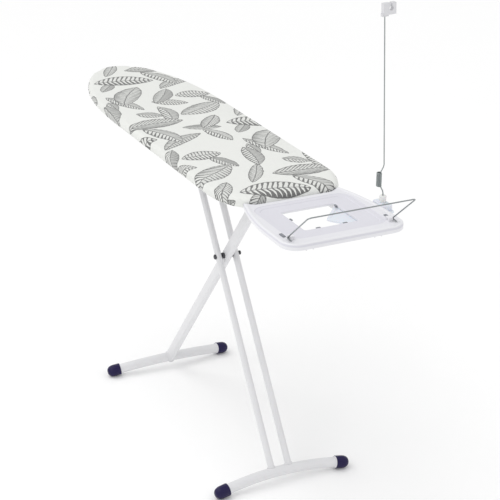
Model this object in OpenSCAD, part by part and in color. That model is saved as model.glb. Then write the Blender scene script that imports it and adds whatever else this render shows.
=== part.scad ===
// Large scissor-leg ironing board with a fixed tray for a steam iron station.
// +X runs from the nose to the tray, +Y to the side of the cable holder, +Z up.
// The origin is on the floor, at the middle of the overall length and width.

/* [Board] */
// Height of the ironing surface above the floor
board_top = 929; // [900:1:970]
// Length of the covered board
board_l = 1341; // [1300:1:1380]
// Width of the covered board
board_w = 380; // [360:1:400]
// Thickness of the soft top: cover and underlay
soft_t = 18; // [12:1:20]
// Thickness of the steel panel with its rolled edge
panel_t = 6; // [4:1:8]
// Length of the rounded nose
nose_l = 566; // [500:1:600]

/* [Scissor legs] */
// Depth of the leg pivots below the ironing surface
pivot_drop = 45; // [44:1:46]
// Angle between the rear leg and the floor
rear_angle = 50.5; // [49:0.5:52]
// Rear leg, from its hinge to the crossing bolt
rear_upper = 389.5; // [388:0.5:391]
// Front leg, from its sliding rod to the crossing bolt
front_upper = 362.4; // [361:0.1:364]
// Distance between the two tubes of the front leg
tube_gap = 56.4; // [54:0.1:60]
// Outside diameter of the front leg tubes
tube_d = 20; // [18:1:22]
// Depth of the flat-oval rear leg tube
oval_h = 38; // [34:1:38]
// Thickness of the flat-oval rear leg tube
oval_w = 20; // [18:1:20]
// Wall of all tubes
wall = 1.5; // [1:0.1:2]

/* [Feet] */
// Width over the foot caps
foot_w = 441; // [420:1:460]
// Diameter of the foot bars
bar_d = 31; // [28:1:32]
// Rise of a foot bar's middle above its tips
bar_rise = 24; // [18:1:30]
// Diameter of the foot caps
cap_d = 38; // [36:1:40]
// Length of the foot caps
cap_l = 46; // [40:1:50]

/* [Tray] */
// Level of the tray's rim below the ironing surface
rim_drop = 10; // [8:1:12]
// Length of the tray
tray_l = 326; // [310:1:340]
// Width of the tray
tray_w = 356; // [340:1:364]
// Length of the raised bail arms
bail_l = 142; // [130:1:145]
// Rise angle of the bail at rest
bail_angle = 40; // [30:1:60]
// Wire diameter of the bail
bail_d = 4; // [3.6:0.1:4.4]

/* [Cable holder] */
// Level of the top end of the mast
mast_top = 1446; // [1380:1:1460]
// Wire diameter of the mast
mast_d = 3.4; // [3:0.1:4]
// Lean of the mast towards the board
mast_lean = 2.3; // [0:0.1:4]
// Outside diameter of the coil spring
coil_d = 15; // [14:0.5:16]
// Number of turns of the coil spring
coil_turns = 13; // [8:1:13]

/* [Hidden] */
$fn = 48;

gap = 0.3;                       // air between faces of different pieces
run_gap = 0.05;                  // radial clearance of a running fit
WHITE = "ghostwhite";            // powder-coated steel
PLASTIC = "lavender";            // moulded plastic
STEEL = "lightslategray";        // bare and plated wire
NAVY = "midnightblue";           // foot caps

// Board outline
tail_x = 484;
nose_x = tail_x - board_l;
tail_l = 150;                    // length of the rounded tail corners
tail_flat = 105;                 // half-width of the straight tail end
nose_power = 2.54;
panel_top = board_top - soft_t;
panel_bottom = panel_top - panel_t;
sheet_t = 0.9;
pan_inset = 9;                   // inner edge of the rolled rim

// Leg linkage, seen from the side
pivot_z = board_top - pivot_drop;
hinge_x = 314.5;
cross_x = hinge_x - rear_upper * cos(rear_angle);
cross_z = pivot_z - rear_upper * sin(rear_angle);
front_angle = asin((pivot_z - cross_z) / front_upper);
slider_x = cross_x - front_upper * cos(front_angle);

// Foot bars are arcs; the caps are straight and tangent to the arc's ends
half_foot = foot_w / 2;
bar_r = (half_foot * half_foot + bar_rise * bar_rise) / (2 * bar_rise);
bar_half_angle = asin((half_foot - cap_l) / bar_r);
bar_hidden = 1.1;                // degrees of arc hidden inside each cap
collar_l = 6;
dome_l = 14;
cap_straight = cap_l - dome_l;
cap_drop = bar_r * (1 - cos(bar_half_angle)) + cap_straight * sin(bar_half_angle);
foot_z = cap_d / 2 - 1;          // the lowest millimetre of a cap is cut to a flat sole
rear_mid = (cross_z - foot_z) / sin(rear_angle) - cap_drop;
front_mid = (cross_z - foot_z) / sin(front_angle) - cap_drop;

// Slide rails
rail_x0 = -466;
rail_x1 = -70;
rail_y = 48;                     // inner face of each rail
rail_t = 2;
slot_top = pivot_z + 12;
slot_bottom = pivot_z - 8.5;
roller_d = 12;
rod_d = 8;

// Tray
tray_x0 = tail_x - 30;
tray_x1 = tray_x0 + tray_l + 16;
tray_c = 634;                    // middle of the tray's deck and opening
rim_z = board_top - rim_drop;
deck_z = rim_z - 6;
tray_bottom = deck_z - 6;
deck_l = 212;
deck_w = 260;
hole_l = 136;
hole_w = 160;
bail_x = tray_c + 112;
bail_y = 154;
bail_z = rim_z + 3;

// Cable holder
socket_y = 191;
socket_top = rim_z + 2;
socket_floor = tray_bottom - 6;
plug_top = socket_top + 20;
coil_y = 177;
coil_z0 = socket_top + 46;
coil_z1 = coil_z0 + coil_turns * (mast_d - 0.2);
coil_r = (coil_d - mast_d) / 2;

// ---------- outlines ----------

// Half-width of the board at distance u from the tail, all round smaller by inset
function half_width(u, inset) =
    let (half = board_w / 2, full = board_l - nose_l)
    u < tail_l ? tail_flat + (half - inset - tail_flat) * sqrt(1 - pow((tail_l - u) / (tail_l - inset), 2))
    : u < full ? half - inset
    : (half - inset) * sqrt(max(0, 1 - pow((u - full) / (nose_l - inset), nose_power)));

// Stations along the board: close together at both rounded ends
function stations(inset) = concat(
    [for (i = [0:12]) inset + (tail_l - inset) * (1 - cos(i * 7.5))],
    [for (i = [1:40]) board_l - nose_l + (nose_l - inset) * sin(i * 2.25)]);

module board_outline(inset) {
    us = stations(inset);
    n = len(us);
    side = [for (u = us) [tail_x - u, -half_width(u, inset)]];
    far = [for (i = [n - 2:-1:0]) [side[i].x, -side[i].y]];
    polygon(concat(side, far));
}

module board_slab(z0, z1, inset) {
    translate([0, 0, z0]) linear_extrude(z1 - z0) board_outline(inset);
}

// Half-width of the tray at position x: bulging sides and round outer corners
function tray_half(x, inset) =
    let (half = tray_w / 2, corner = 46, centre = tray_x1 - corner, knee = centre - 70)
    x < knee ? half - inset - 38 * pow((knee - x) / 220, 2)
    : x < centre ? half - inset
    : half - corner + sqrt(max(0, pow(corner - inset, 2) - pow(x - centre, 2)));

module tray_outline(inset) {
    corner = 46;
    centre = tray_x1 - corner;
    x_start = tray_x0 + inset;
    xs = concat([for (i = [0:10]) x_start + (centre - x_start) * i / 10],
        [for (i = [1:9]) centre + (corner - inset) * sin(i * 10)]);
    n = len(xs);
    side = [for (x = xs) [x, -tray_half(x, inset)]];
    far = [for (i = [n - 1:-1:0]) [side[i].x, -side[i].y]];
    polygon(concat(side, far));
}

module round_rect(l, w, r) {
    square([l - 2 * r, w], center = true);
    square([l, w - 2 * r], center = true);
    for (sx = [-1, 1], sy = [-1, 1]) translate([sx * (l / 2 - r), sy * (w / 2 - r)]) circle(r);
}

module rod_y(r, y0, y1) {
    translate([0, y0, 0]) rotate([-90, 0, 0]) cylinder(r = r, h = y1 - y0);
}

// A round wire from point a to point b
module wire(a, b, d) {
    v = b - a;
    translate(a) rotate([0, acos(v.z / norm(v)), atan2(v.y, v.x)]) cylinder(d = d, h = norm(v));
}

// The rounded bend where two straight wires meet, a little fuller than the wire
module bend_ball(p, d) {
    translate(p) sphere(d = d + 0.3);
}

// ---------- board ----------

module cover() {
    hem_w = 26;
    skin = 2;
    color("whitesmoke") difference() {
        board_slab(panel_bottom - 3, board_top, 0);
        board_slab(panel_bottom - 1, board_top - skin, 2.4);
        board_slab(panel_bottom - 4, panel_bottom, hem_w);
    }
}

// Felt and foam: its lower part fills the panel's pan, its upper part lies over the rim
module underlay_pad() {
    color("gainsboro") {
        board_slab(panel_bottom + sheet_t + 2 * gap, panel_top + 1, pan_inset + gap);
        board_slab(panel_top + gap, board_top - 2 - gap, 3);
    }
}

// Thin steel pan with a rolled rim
module board_panel() {
    color(WHITE) difference() {
        board_slab(panel_bottom + gap, panel_top, 6);
        board_slab(panel_bottom + gap + sheet_t, panel_top + 1, pan_inset);
    }
}

module hem_elastic() {
    color("white") difference() {
        board_slab(panel_bottom - 6, panel_bottom - 3, 23);
        board_slab(panel_bottom - 7, panel_bottom - 2, 26);
    }
}

// One slide rail: an upright flange with a long slot and a flange under the panel
module slide_rail(side) {
    rail_l = rail_x1 - rail_x0;
    slot_l = rail_l - 30;
    slot_h = slot_top - slot_bottom;
    y_mid = side * (rail_y + rail_t / 2);
    color(WHITE) difference() {
        union() {
            translate([rail_x0, y_mid - rail_t / 2, slot_bottom - 10])
                cube([rail_l, rail_t, panel_bottom + gap - slot_bottom + 10]);
            translate([rail_x0, y_mid + side * 9 - 10, panel_bottom + gap - rail_t])
                cube([rail_l, 20, rail_t]);
        }
        translate([rail_x0 + 15, y_mid - 10, slot_bottom]) cube([slot_l, 20, slot_h]);
        for (x = rivet_xs()) translate([x, side * 62, panel_bottom - 10]) cylinder(r = 2.05, h = 20);
    }
}

function rivet_xs() = [for (i = [0:3]) rail_x0 + 30 + i * (rail_x1 - rail_x0 - 60) / 3];

module slide_rail_left() {
    slide_rail(-1);
}

module slide_rail_right() {
    slide_rail(1);
}

module rail_end_stops() {
    stop_w = 5;
    color("dimgray") for (x = [rail_x0 + 15, rail_x1 - 19], y = [rail_y + rail_t - stop_w, -rail_y - rail_t])
        translate([x, y, slot_bottom]) cube([4, stop_w, slot_top - slot_bottom]);
}

module rail_rivets() {
    color("silver") for (x = rivet_xs(), side = [-1, 1]) translate([x, side * 62, 0]) {
        translate([0, 0, panel_bottom + gap - rail_t - 1.5]) cylinder(r = 4, h = 1.5);
        translate([0, 0, panel_bottom + gap - rail_t - 1]) cylinder(r = 2, h = rail_t + 1);
    }
}

// Folded bracket that carries the rear leg's axle
module leg_bracket() {
    cheek_y = 14;
    color(WHITE) difference() {
        union() {
            translate([hinge_x - 45, -cheek_y - 26, panel_bottom + gap - 2]) cube([90, 2 * cheek_y + 52, 2]);
            for (side = [-1, 1]) translate([hinge_x, side * (cheek_y + 1.25), 0]) {
                translate([-18, -1.25, pivot_z]) cube([36, 2.5, panel_bottom + gap - pivot_z]);
                translate([0, -1.25, pivot_z]) rod_y(13, 0, 2.5);
            }
        }
        translate([hinge_x, 0, pivot_z]) rod_y(5, -60, 60);
    }
}

module rear_leg_axle() {
    color(STEEL) translate([hinge_x, 0, pivot_z]) rod_y(5, -22, 22);
}

module axle_caps() {
    color("silver") for (side = [-1, 1]) translate([hinge_x, 0, pivot_z])
        difference() {
            translate([0, side < 0 ? -23.5 : 16.8, 0]) rod_y(8, 0, 6.7);
            rod_y(5, -22, 22);
        }
}

// ---------- tray ----------

module tray() {
    color(PLASTIC) difference() {
        union() {
            translate([0, 0, tray_bottom]) linear_extrude(rim_z - 2 - tray_bottom) tray_outline(0);
            translate([0, 0, rim_z - 3]) linear_extrude(3) difference() {
                tray_outline(0.8);
                tray_outline(9);
            }
            translate([0, 0, tray_bottom - 5]) linear_extrude(6) difference() {
                tray_outline(0);
                tray_outline(3);
            }
        }
        translate([tray_c, 0, deck_z]) linear_extrude(20) round_rect(deck_l, deck_w, 26);
        translate([tray_c, 0, tray_bottom - 9]) linear_extrude(40) round_rect(hole_l, hole_w, 7);
        translate([tray_x0 - 1, -200, rim_z - 6.2]) cube([tail_x - tray_x0 + 6, 400, 20]);
        board_slab(panel_bottom - 7, board_top, -1);
        translate([bracket_x0 - 1, 150, tray_bottom - 9]) cube([bracket_l + 2, 60, 9]);
        translate([bracket_x0 + 7, socket_y - 16, tray_bottom - 9]) cube([62, 40, 60]);
        for (p = screw_points()) translate([p.x, p.y, tray_bottom - 9]) cylinder(r = 2.1, h = deck_z - 2 - tray_bottom + 9);
    }
}

arm_y = 100;

function screw_points() = [for (x = [545, 724], side = [-1, 1]) [x, side * arm_y]];

// Channel that runs below the hem, with raised seats under the panel and the tray
module tray_arm(side) {
    arm_x0 = 352;
    arm_l = 416;
    arm_w = 22;
    arm_top = panel_bottom - 6 - gap;
    y0 = side * arm_y - arm_w / 2;
    color(WHITE) difference() {
        union() {
            translate([arm_x0, y0, arm_top - 2]) cube([arm_l, arm_w, 2]);
            for (y = [y0, y0 + arm_w - 2]) translate([arm_x0, y, arm_top - 12]) cube([arm_l, 2, 12]);
            translate([arm_x0 + 10, side * arm_y - 9, arm_top]) cube([70, 18, panel_bottom + gap - arm_top]);
            for (p = screw_points()) if (p.y * side > 0)
                translate([p.x, p.y, arm_top]) cylinder(r = 8, h = tray_bottom - arm_top);
        }
        for (p = screw_points()) translate([p.x, p.y, arm_top - 20]) cylinder(r = 2.1, h = 40);
    }
}

module tray_arm_left() {
    tray_arm(-1);
}

module tray_arm_right() {
    tray_arm(1);
}

// Screws from below, their heads under the arms' webs
module tray_screws() {
    web = panel_bottom - 8 - gap;
    head_t = 1.6;
    color("silver") for (p = screw_points()) translate([p.x, p.y, web - head_t]) {
        cylinder(r = 4, h = head_t);
        cylinder(r = 2, h = deck_z - 2.4 - web + head_t);
    }
}

// Small dark snap clips round the tray's opening
module opening_clips() {
    hl = hole_l / 2;
    hw = hole_w / 2;
    color("darkslategray") {
        translate([tray_c - 14, -hw, 0]) edge_clip();
        translate([tray_c - hl + 15, hw, 0]) rotate(180) edge_clip();
        translate([tray_c + hl, 40, 0]) rotate(90) edge_clip();
        translate([tray_c + hl, -40, 0]) rotate(90) edge_clip();
    }
}

module edge_clip() {
    translate([-6, 0, tray_bottom]) cube([12, 2.5, deck_z - 0.2 - tray_bottom]);
    translate([-6, 0, deck_z - 2.2]) cube([12, 5, 2]);
}

// Bearing blocks for the bent ends of the bail
module bail_sockets() {
    color(PLASTIC) for (side = [-1, 1]) difference() {
        translate([bail_x - 9, side * 144 - 6, rim_z - 2]) cube([18, 12, 10]);
        translate([bail_x, 0, bail_z]) rod_y(bail_d / 2 + run_gap, -200, 200);
    }
}

module bail_pads() {
    color(NAVY) for (side = [-1, 1]) translate([bail_x - 38, side * bail_y - 4, rim_z - 2]) cube([22, 8, 2.4]);
}

// ---------- cable holder ----------

bracket_x0 = 596;
bracket_l = 76;
plug_r = 6;                      // shank of the mast's plug

module cable_holder_bracket() {
    z0 = tray_bottom - 7;
    plate_t = 7 - gap;
    hw = hole_w / 2;
    root_y = hw + 14;
    color("aliceblue") difference() {
        union() {
            translate([bracket_x0, root_y - 1, z0]) cube([bracket_l, socket_y + 16 - root_y, plate_t]);
            translate([0, 0, z0]) linear_extrude(plate_t) polygon([[tray_c - hole_l / 2 + 2, root_y],
                [tray_c - hole_l / 2 + 2, hw], [tray_c + 8, 16], [tray_c + 18, 18],
                [tray_c + hole_l / 2 - 6, 54], [tray_c + hole_l / 2 - 6, root_y]]);
            translate([bracket_x0 + 8, socket_y - 15, z0 - 5]) cube([60, 30, socket_top - z0 + 5]);
        }
        translate([tray_c, socket_y, socket_floor]) cylinder(r = plug_r + run_gap, h = 60);
    }
}

module mast_plug() {
    head_z = socket_top + gap;
    color(WHITE) translate([tray_c, socket_y, 0]) difference() {
        union() {
            translate([0, 0, socket_floor + gap]) cylinder(r = plug_r, h = head_z + 1 - socket_floor - gap);
            translate([0, 0, head_z]) cylinder(r1 = 8, r2 = 10, h = 16);
            translate([0, 0, head_z + 16]) cylinder(r1 = 10, r2 = 8, h = plug_top - head_z - 16);
        }
        translate([0, 0, plug_top - 14]) cylinder(d = mast_d, h = 20);
    }
}

module mast_lower_wire() {
    a = [tray_c, socket_y, coil_z0 - 16];
    b = [tray_c, coil_y + coil_r, coil_z0 - mast_d / 2 - gap];
    color(STEEL) {
        wire([tray_c, socket_y, plug_top - 14], a, mast_d);
        wire(a, b, mast_d);
        bend_ball(a, mast_d);
        bend_ball(b, mast_d);
    }
}

// Close-wound coil: a stack of round turns round one hollow core
module coil_spring() {
    pitch = mast_d - 0.2;
    color(STEEL) translate([tray_c, coil_y, coil_z0 + mast_d / 2]) rotate_extrude()
        for (i = [0:coil_turns - 1]) translate([coil_r, i * pitch]) circle(d = mast_d);
}

mast_z0 = coil_z1 + 1.2;         // the mast starts on the coil's top turn

module mast_wire() {
    a = [tray_c, coil_y + coil_r, mast_z0 + mast_d / 2];
    b = [tray_c, socket_y, mast_z0 + 14];
    up = mast_top - b.z;
    c = b + [0, -up * tan(mast_lean), up];
    color(STEEL) {
        wire(a, b, mast_d);
        wire(b, c, mast_d);
        bend_ball(a, mast_d);
        bend_ball(b, mast_d);
    }
}

// Clip that holds the iron's cable at the top of the mast
module cable_clip() {
    up = mast_top - mast_z0 - 14;
    y_top = socket_y - up * tan(mast_lean);
    color(PLASTIC) translate([tray_c, y_top, mast_top]) rotate([mast_lean, 0, 0]) difference() {
        union() {
            translate([-7, -6, -12]) cube([14, 36, 30]);
            translate([-5, -9, -16]) cube([10, 18, 8]);
        }
        translate([0, 0, -40]) cylinder(d = mast_d, h = 44);
        translate([-20, 16, 4]) rotate([0, 90, 0]) cylinder(r = 6, h = 40);
        translate([-20, 13.5, 4]) cube([40, 5, 40]);
    }
}

// ---------- height release ----------

lever_x = 410;
lever_y = -66;
lever_z = pivot_z - 2;
rod_z = lever_z - 16;
pull_d = 4;
tab_x = rail_x1 - 70;            // lug of the rack that holds the pull rod

module lever_bracket() {
    color(WHITE) difference() {
        union() {
            translate([lever_x - 16, lever_y - 15, panel_bottom + gap - 2]) cube([32, 30, 2]);
            for (y = [-14, 12]) translate([lever_x - 8, lever_y + y, lever_z - 7])
                cube([16, 2, panel_bottom + gap - lever_z + 7]);
        }
        translate([lever_x, 0, lever_z]) rod_y(2.5, -200, 0);
    }
}

module lever_pin() {
    color(STEEL) translate([lever_x, 0, lever_z]) rod_y(2.5, lever_y - 16, lever_y + 16);
}

module release_lever() {
    color("slategray") difference() {
        union() {
            translate([lever_x, lever_y - 10, lever_z]) rod_y(7, 0, 20);
            translate([lever_x, lever_y - 10, lever_z - 4]) cube([50, 20, 6]);
            translate([lever_x + 50, lever_y - 10, lever_z - 1]) rod_y(5, 0, 20);
            translate([lever_x - 4, lever_y - 3, lever_z - 20]) cube([8, 6, 20]);
        }
        translate([lever_x, 0, lever_z]) rod_y(2.5 + run_gap, -200, 0);
    }
}

module pull_rod() {
    color(STEEL) wire([tab_x + 2, lever_y, rod_z], [lever_x - 6, lever_y, rod_z], pull_d);
}

// Toothed strip beside the left rail; its teeth stand just below the sliding rod
module height_rack() {
    rack_x0 = rail_x0 + 20;
    rack_l = rail_x1 - rack_x0 - 10;
    pitch = 26;
    tooth_top = pivot_z - rod_d / 2 - 2.2;
    rack_t = 3;
    y0 = -rail_y - rail_t - gap - rack_t;
    color("silver") difference() {
        union() {
            translate([rack_x0, y0, tooth_top - 14]) cube([rack_l, rack_t, 14]);
            translate([tab_x, lever_y - 4, rod_z - 4]) cube([14, y0 + rack_t - lever_y + 4, 8]);
        }
        for (i = [0:12]) translate([rack_x0 + 12 + i * pitch, y0 - 1, tooth_top - 5]) cube([12, rack_t + 2, 10]);
        translate([tab_x + 2, lever_y, rod_z]) rotate([0, 90, 0]) cylinder(d = pull_d, h = 40);
    }
}

// ---------- legs ----------

// Local frame of a leg: origin at the crossing bolt, +X up along the leg
module rear_frame() {
    translate([cross_x, 0, cross_z]) rotate([0, -rear_angle, 0]) children();
}

module front_frame() {
    translate([cross_x, 0, cross_z]) rotate([0, front_angle - 180, 0]) children();
}

module bar_arc(half_angle, d) {
    rotate([0, 0, -half_angle]) rotate_extrude(angle = 2 * half_angle, $fn = 96) translate([bar_r, 0]) circle(d = d);
}

// The curved bar of a foot, its middle at distance mid below the crossing bolt
module foot_bar(mid) {
    translate([-mid - bar_r, 0, 0]) difference() {
        bar_arc(bar_half_angle + bar_hidden, bar_d);
        bar_arc(bar_half_angle + 2 * bar_hidden, bar_d - 2 * wall);
    }
}

// Places children at a bar's end, +Y pointing outwards along the bar
module at_bar_end(mid, side) {
    mirror([0, side < 0 ? 1 : 0, 0]) translate([-mid - bar_r, 0, 0]) rotate([0, 0, bar_half_angle])
        translate([bar_r, 0, 0]) children();
}

module foot_cap(mid, side) {
    rib = 1.2;
    at_bar_end(mid, side) difference() {
        union() {
            rod_y(cap_d / 2, collar_l, cap_straight);
            translate([0, cap_straight, 0]) rotate([-90, 0, 0]) rotate_extrude() dome_profile(cap_d / 2, dome_l);
            for (y = [collar_l + 6:7:cap_straight - 5]) translate([0, y, 0]) rotate([-90, 0, 0])
                rotate_extrude() translate([cap_d / 2 - 0.4, 0]) circle(rib, $fn = 24);
        }
        rod_y(bar_d / 2 + 0.4, -5, cap_straight - 6);
    }
}

// Quarter profile of a low dome
module dome_profile(r, h) {
    polygon(concat([[0, 0]], [for (i = [0:9]) [r * cos(i * 10), h * sin(i * 10)]]));
}

module collar(mid, side) {
    at_bar_end(mid, side) difference() {
        rod_y(bar_d / 2 + 2.4, -1, collar_l - 0.1);
        rod_y(bar_d / 2 + 0.25, -5, collar_l + 5);
    }
}

// Everything below the floor is cut away, which leaves the flat soles
module on_floor() {
    difference() {
        children();
        translate([-1000, -300, -60]) cube([2000, 600, 60]);
    }
}

module oval(w, h) {
    square([h - w, w], center = true);
    for (s = [-1, 1]) translate([s * (h - w) / 2, 0]) circle(d = w);
}

module rear_leg_tube() {
    top = rear_upper - 24;
    color(WHITE) rear_frame() difference() {
        translate([-rear_mid, 0, 0]) rotate([90, 0, 90]) rotate(90)
            linear_extrude(rear_mid + top) oval(oval_w, oval_h);
        translate([-rear_mid - 1, 0, 0]) rotate([90, 0, 90]) rotate(90)
            linear_extrude(rear_mid + top - 10) oval(oval_w - 2 * wall, oval_h - 2 * wall);
        rod_y(4 + run_gap, -40, 40);
        translate([-rear_mid, 0, 0]) rod_y(bar_d / 2 + 0.05, -60, 60);
    }
}

module rear_leg_lug() {
    color(STEEL) rear_frame() difference() {
        union() {
            translate([rear_upper, 0, 0]) rod_y(14, -13, 13);
            translate([rear_upper - 24 + 0.05, -8, -11]) cube([24, 16, 22]);
        }
        translate([rear_upper, 0, 0]) rod_y(5 + run_gap, -40, 40);
    }
}

module rear_foot_bar() {
    color(WHITE) rear_frame() foot_bar(rear_mid);
}

module rear_cap_left() {
    color(NAVY) on_floor() rear_frame() foot_cap(rear_mid, -1);
}

module rear_cap_right() {
    color(NAVY) on_floor() rear_frame() foot_cap(rear_mid, 1);
}

module rear_collars() {
    color(PLASTIC) rear_frame() for (side = [-1, 1]) collar(rear_mid, side);
}

bolt_y = tube_gap / 2 + tube_d / 2;

module crossing_bolt() {
    color("dimgray") rear_frame() {
        rod_y(4, -bolt_y - 3, bolt_y + 3);
        translate([0, -bolt_y - 5.5, 0]) rod_y(8, 0, 5.5 - gap);
    }
}

module crossing_bolt_nut() {
    color("dimgray") rear_frame() difference() {
        translate([0, bolt_y + gap, 0]) rod_y(7, 0, 6);
        rod_y(4, 0, bolt_y + 3);
    }
}

module crossing_spacers() {
    inner = oval_w / 2;
    outer = tube_gap / 2 - tube_d / 2;
    color("dimgray") rear_frame() for (side = [-1, 1]) difference() {
        translate([0, side < 0 ? -outer + gap : inner, 0]) rod_y(9, 0, outer - inner - gap);
        rod_y(4, -40, 40);
    }
}

module front_tube(side) {
    color(WHITE) front_frame() difference() {
        translate([-front_mid, side * tube_gap / 2, 0]) rotate([0, 90, 0])
            cylinder(d = tube_d, h = front_mid + front_upper - 6);
        translate([-front_mid - 1, side * tube_gap / 2, 0]) rotate([0, 90, 0])
            cylinder(d = tube_d - 2 * wall, h = front_mid + front_upper - 5 + 2);
        rod_y(4 + run_gap, -60, 60);
        translate([-front_mid, 0, 0]) rod_y(bar_d / 2 + 0.6, -60, 60);
    }
}

module front_tube_left() {
    front_tube(1);
}

module front_tube_right() {
    front_tube(-1);
}

module front_foot_bar() {
    color(WHITE) front_frame() foot_bar(front_mid);
}

module front_cap_left() {
    color(NAVY) on_floor() front_frame() foot_cap(front_mid, -1);
}

module front_cap_right() {
    color(NAVY) on_floor() front_frame() foot_cap(front_mid, 1);
}

module front_collars() {
    color(PLASTIC) front_frame() for (side = [-1, 1]) collar(front_mid, side);
}

// Solid ends of the front tubes that carry the sliding rod
module front_tube_plugs() {
    color("dimgray") front_frame() for (side = [-1, 1]) translate([0, side * tube_gap / 2, 0]) difference() {
        union() {
            translate([front_upper - 36, 0, 0]) rotate([0, 90, 0]) cylinder(d = tube_d - 2 * wall - 0.1, h = 36);
            translate([front_upper - 5.9, 0, 0]) rotate([0, 90, 0]) cylinder(d = tube_d, h = 6);
            translate([front_upper, 0, 0]) rod_y(9, -7, 7);
        }
        translate([front_upper, 0, 0]) rod_y(rod_d / 2, -20, 20);
    }
}

module slider_rod() {
    reach = rail_y + rail_t + 8;
    color(STEEL) translate([slider_x, 0, pivot_z]) rod_y(rod_d / 2, -reach, reach);
}

module slider_rollers() {
    color("white") translate([slider_x, 0, pivot_z]) for (side = [-1, 1]) difference() {
        translate([0, side < 0 ? -rail_y - rail_t : rail_y - 6, 0]) rod_y(roller_d / 2, 0, 6 + rail_t);
        rod_y(rod_d / 2, -90, 90);
    }
}

// ---------- bail ----------

module wire_bail() {
    bend = 8;
    color(STEEL) translate([bail_x, 0, bail_z]) {
        rotate([0, -bail_angle, 0]) {
            for (side = [-1, 1]) {
                translate([0, side * bail_y, 0]) rotate([0, 90, 0]) cylinder(d = bail_d, h = bail_l - bend);
                mirror([0, side < 0 ? 1 : 0, 0]) translate([bail_l - bend, bail_y - bend, 0])
                    rotate_extrude(angle = 90) translate([bend, 0]) circle(d = bail_d);
            }
            translate([bail_l, 0, 0]) rod_y(bail_d / 2, -bail_y + bend, bail_y - bend);
        }
        for (side = [-1, 1]) {
            rod_y(bail_d / 2, side < 0 ? -bail_y : 139, side < 0 ? -139 : bail_y);
            bend_ball([0, side * bail_y, 0], bail_d);
            wire([0, side * bail_y, 0], [21, side * bail_y, -1.5], bail_d - 0.4);
        }
    }
}

cover();
underlay_pad();
board_panel();
hem_elastic();
slide_rail_left();
slide_rail_right();
rail_end_stops();
rail_rivets();
leg_bracket();
rear_leg_axle();
axle_caps();
tray();
tray_arm_left();
tray_arm_right();
tray_screws();
opening_clips();
bail_sockets();
bail_pads();
cable_holder_bracket();
lever_bracket();
lever_pin();
release_lever();
pull_rod();
height_rack();
rear_leg_tube();
rear_leg_lug();
rear_foot_bar();
rear_cap_left();
rear_cap_right();
rear_collars();
crossing_bolt();
crossing_bolt_nut();
crossing_spacers();
front_tube_left();
front_tube_right();
front_foot_bar();
front_cap_left();
front_cap_right();
front_collars();
slider_rod();
slider_rollers();
front_tube_plugs();
wire_bail();
mast_plug();
mast_lower_wire();
coil_spring();
mast_wire();
cable_clip();
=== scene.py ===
"""Visual model of a scissor-leg ironing board: leaf-print cover, iron tray and cable mast.

Lengths in the classes are millimetres, in the same frame as the CAD model; meshes are in metres.
"""

import logging
import math
from dataclasses import dataclass
from enum import Enum
from functools import partialmethod

import bmesh
import bpy
import numpy as np
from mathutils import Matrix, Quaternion, Vector


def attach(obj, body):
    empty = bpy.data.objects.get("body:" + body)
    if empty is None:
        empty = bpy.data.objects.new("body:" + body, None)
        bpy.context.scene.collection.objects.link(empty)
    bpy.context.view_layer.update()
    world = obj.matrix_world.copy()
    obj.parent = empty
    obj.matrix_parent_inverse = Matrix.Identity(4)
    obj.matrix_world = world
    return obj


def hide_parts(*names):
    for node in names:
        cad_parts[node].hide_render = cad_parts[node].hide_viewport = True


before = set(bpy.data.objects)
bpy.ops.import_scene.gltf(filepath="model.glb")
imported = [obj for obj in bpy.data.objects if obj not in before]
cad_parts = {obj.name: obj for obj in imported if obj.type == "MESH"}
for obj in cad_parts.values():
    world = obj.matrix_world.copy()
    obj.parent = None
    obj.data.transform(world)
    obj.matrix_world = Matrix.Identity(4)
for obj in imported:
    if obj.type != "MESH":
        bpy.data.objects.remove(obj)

log = logging.getLogger("ironing_board")
MM = 0.001


# ---------------------------------------------------------------- mesh making


def grid_faces(rows: int, cols: int, wrap_rows: bool, wrap_cols: bool) -> np.ndarray:
    """Quads of a grid whose point (i, j) has the number i * cols + j.

    Args:
        rows: number of rows.
        cols: number of columns.
        wrap_rows: the last row joins the first.
        wrap_cols: the last column joins the first.

    Returns:
        Array of four point numbers a face.
    """
    i, j = np.meshgrid(
        np.arange(rows if wrap_rows else rows - 1),
        np.arange(cols if wrap_cols else cols - 1),
        indexing="ij",
    )
    i2, j2 = (i + 1) % rows, (j + 1) % cols
    return np.stack(
        [i * cols + j, i * cols + j2, i2 * cols + j2, i2 * cols + j], -1
    ).reshape(-1, 4)


def run_of(path: np.ndarray) -> np.ndarray:
    """Distance along a path at each of its points."""
    return np.concatenate([[0], np.cumsum(np.linalg.norm(np.diff(path, axis=0), axis=1))])


def spaced(path: np.ndarray, least: float = 1e-3) -> np.ndarray:
    """The path without points that lie closer than least to the one before."""
    steps = np.linalg.norm(np.diff(path, axis=0), axis=1)
    return path[np.concatenate([[True], steps > least])]


def show(name: str, data: bpy.types.ID) -> bpy.types.Object:
    """A new object in the scene."""
    thing = bpy.data.objects.new(name, data)
    bpy.context.scene.collection.objects.link(thing)
    return thing


def mark_cloth(mesh: bpy.types.Mesh, flat: np.ndarray) -> None:
    """Keeps each point's place on the flat cloth as the attribute that the print reads."""
    spot = mesh.attributes.new("print", "FLOAT_VECTOR", "POINT")
    spot.data.foreach_set("vector", (flat * MM).reshape(-1).astype(np.float32))


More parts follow.
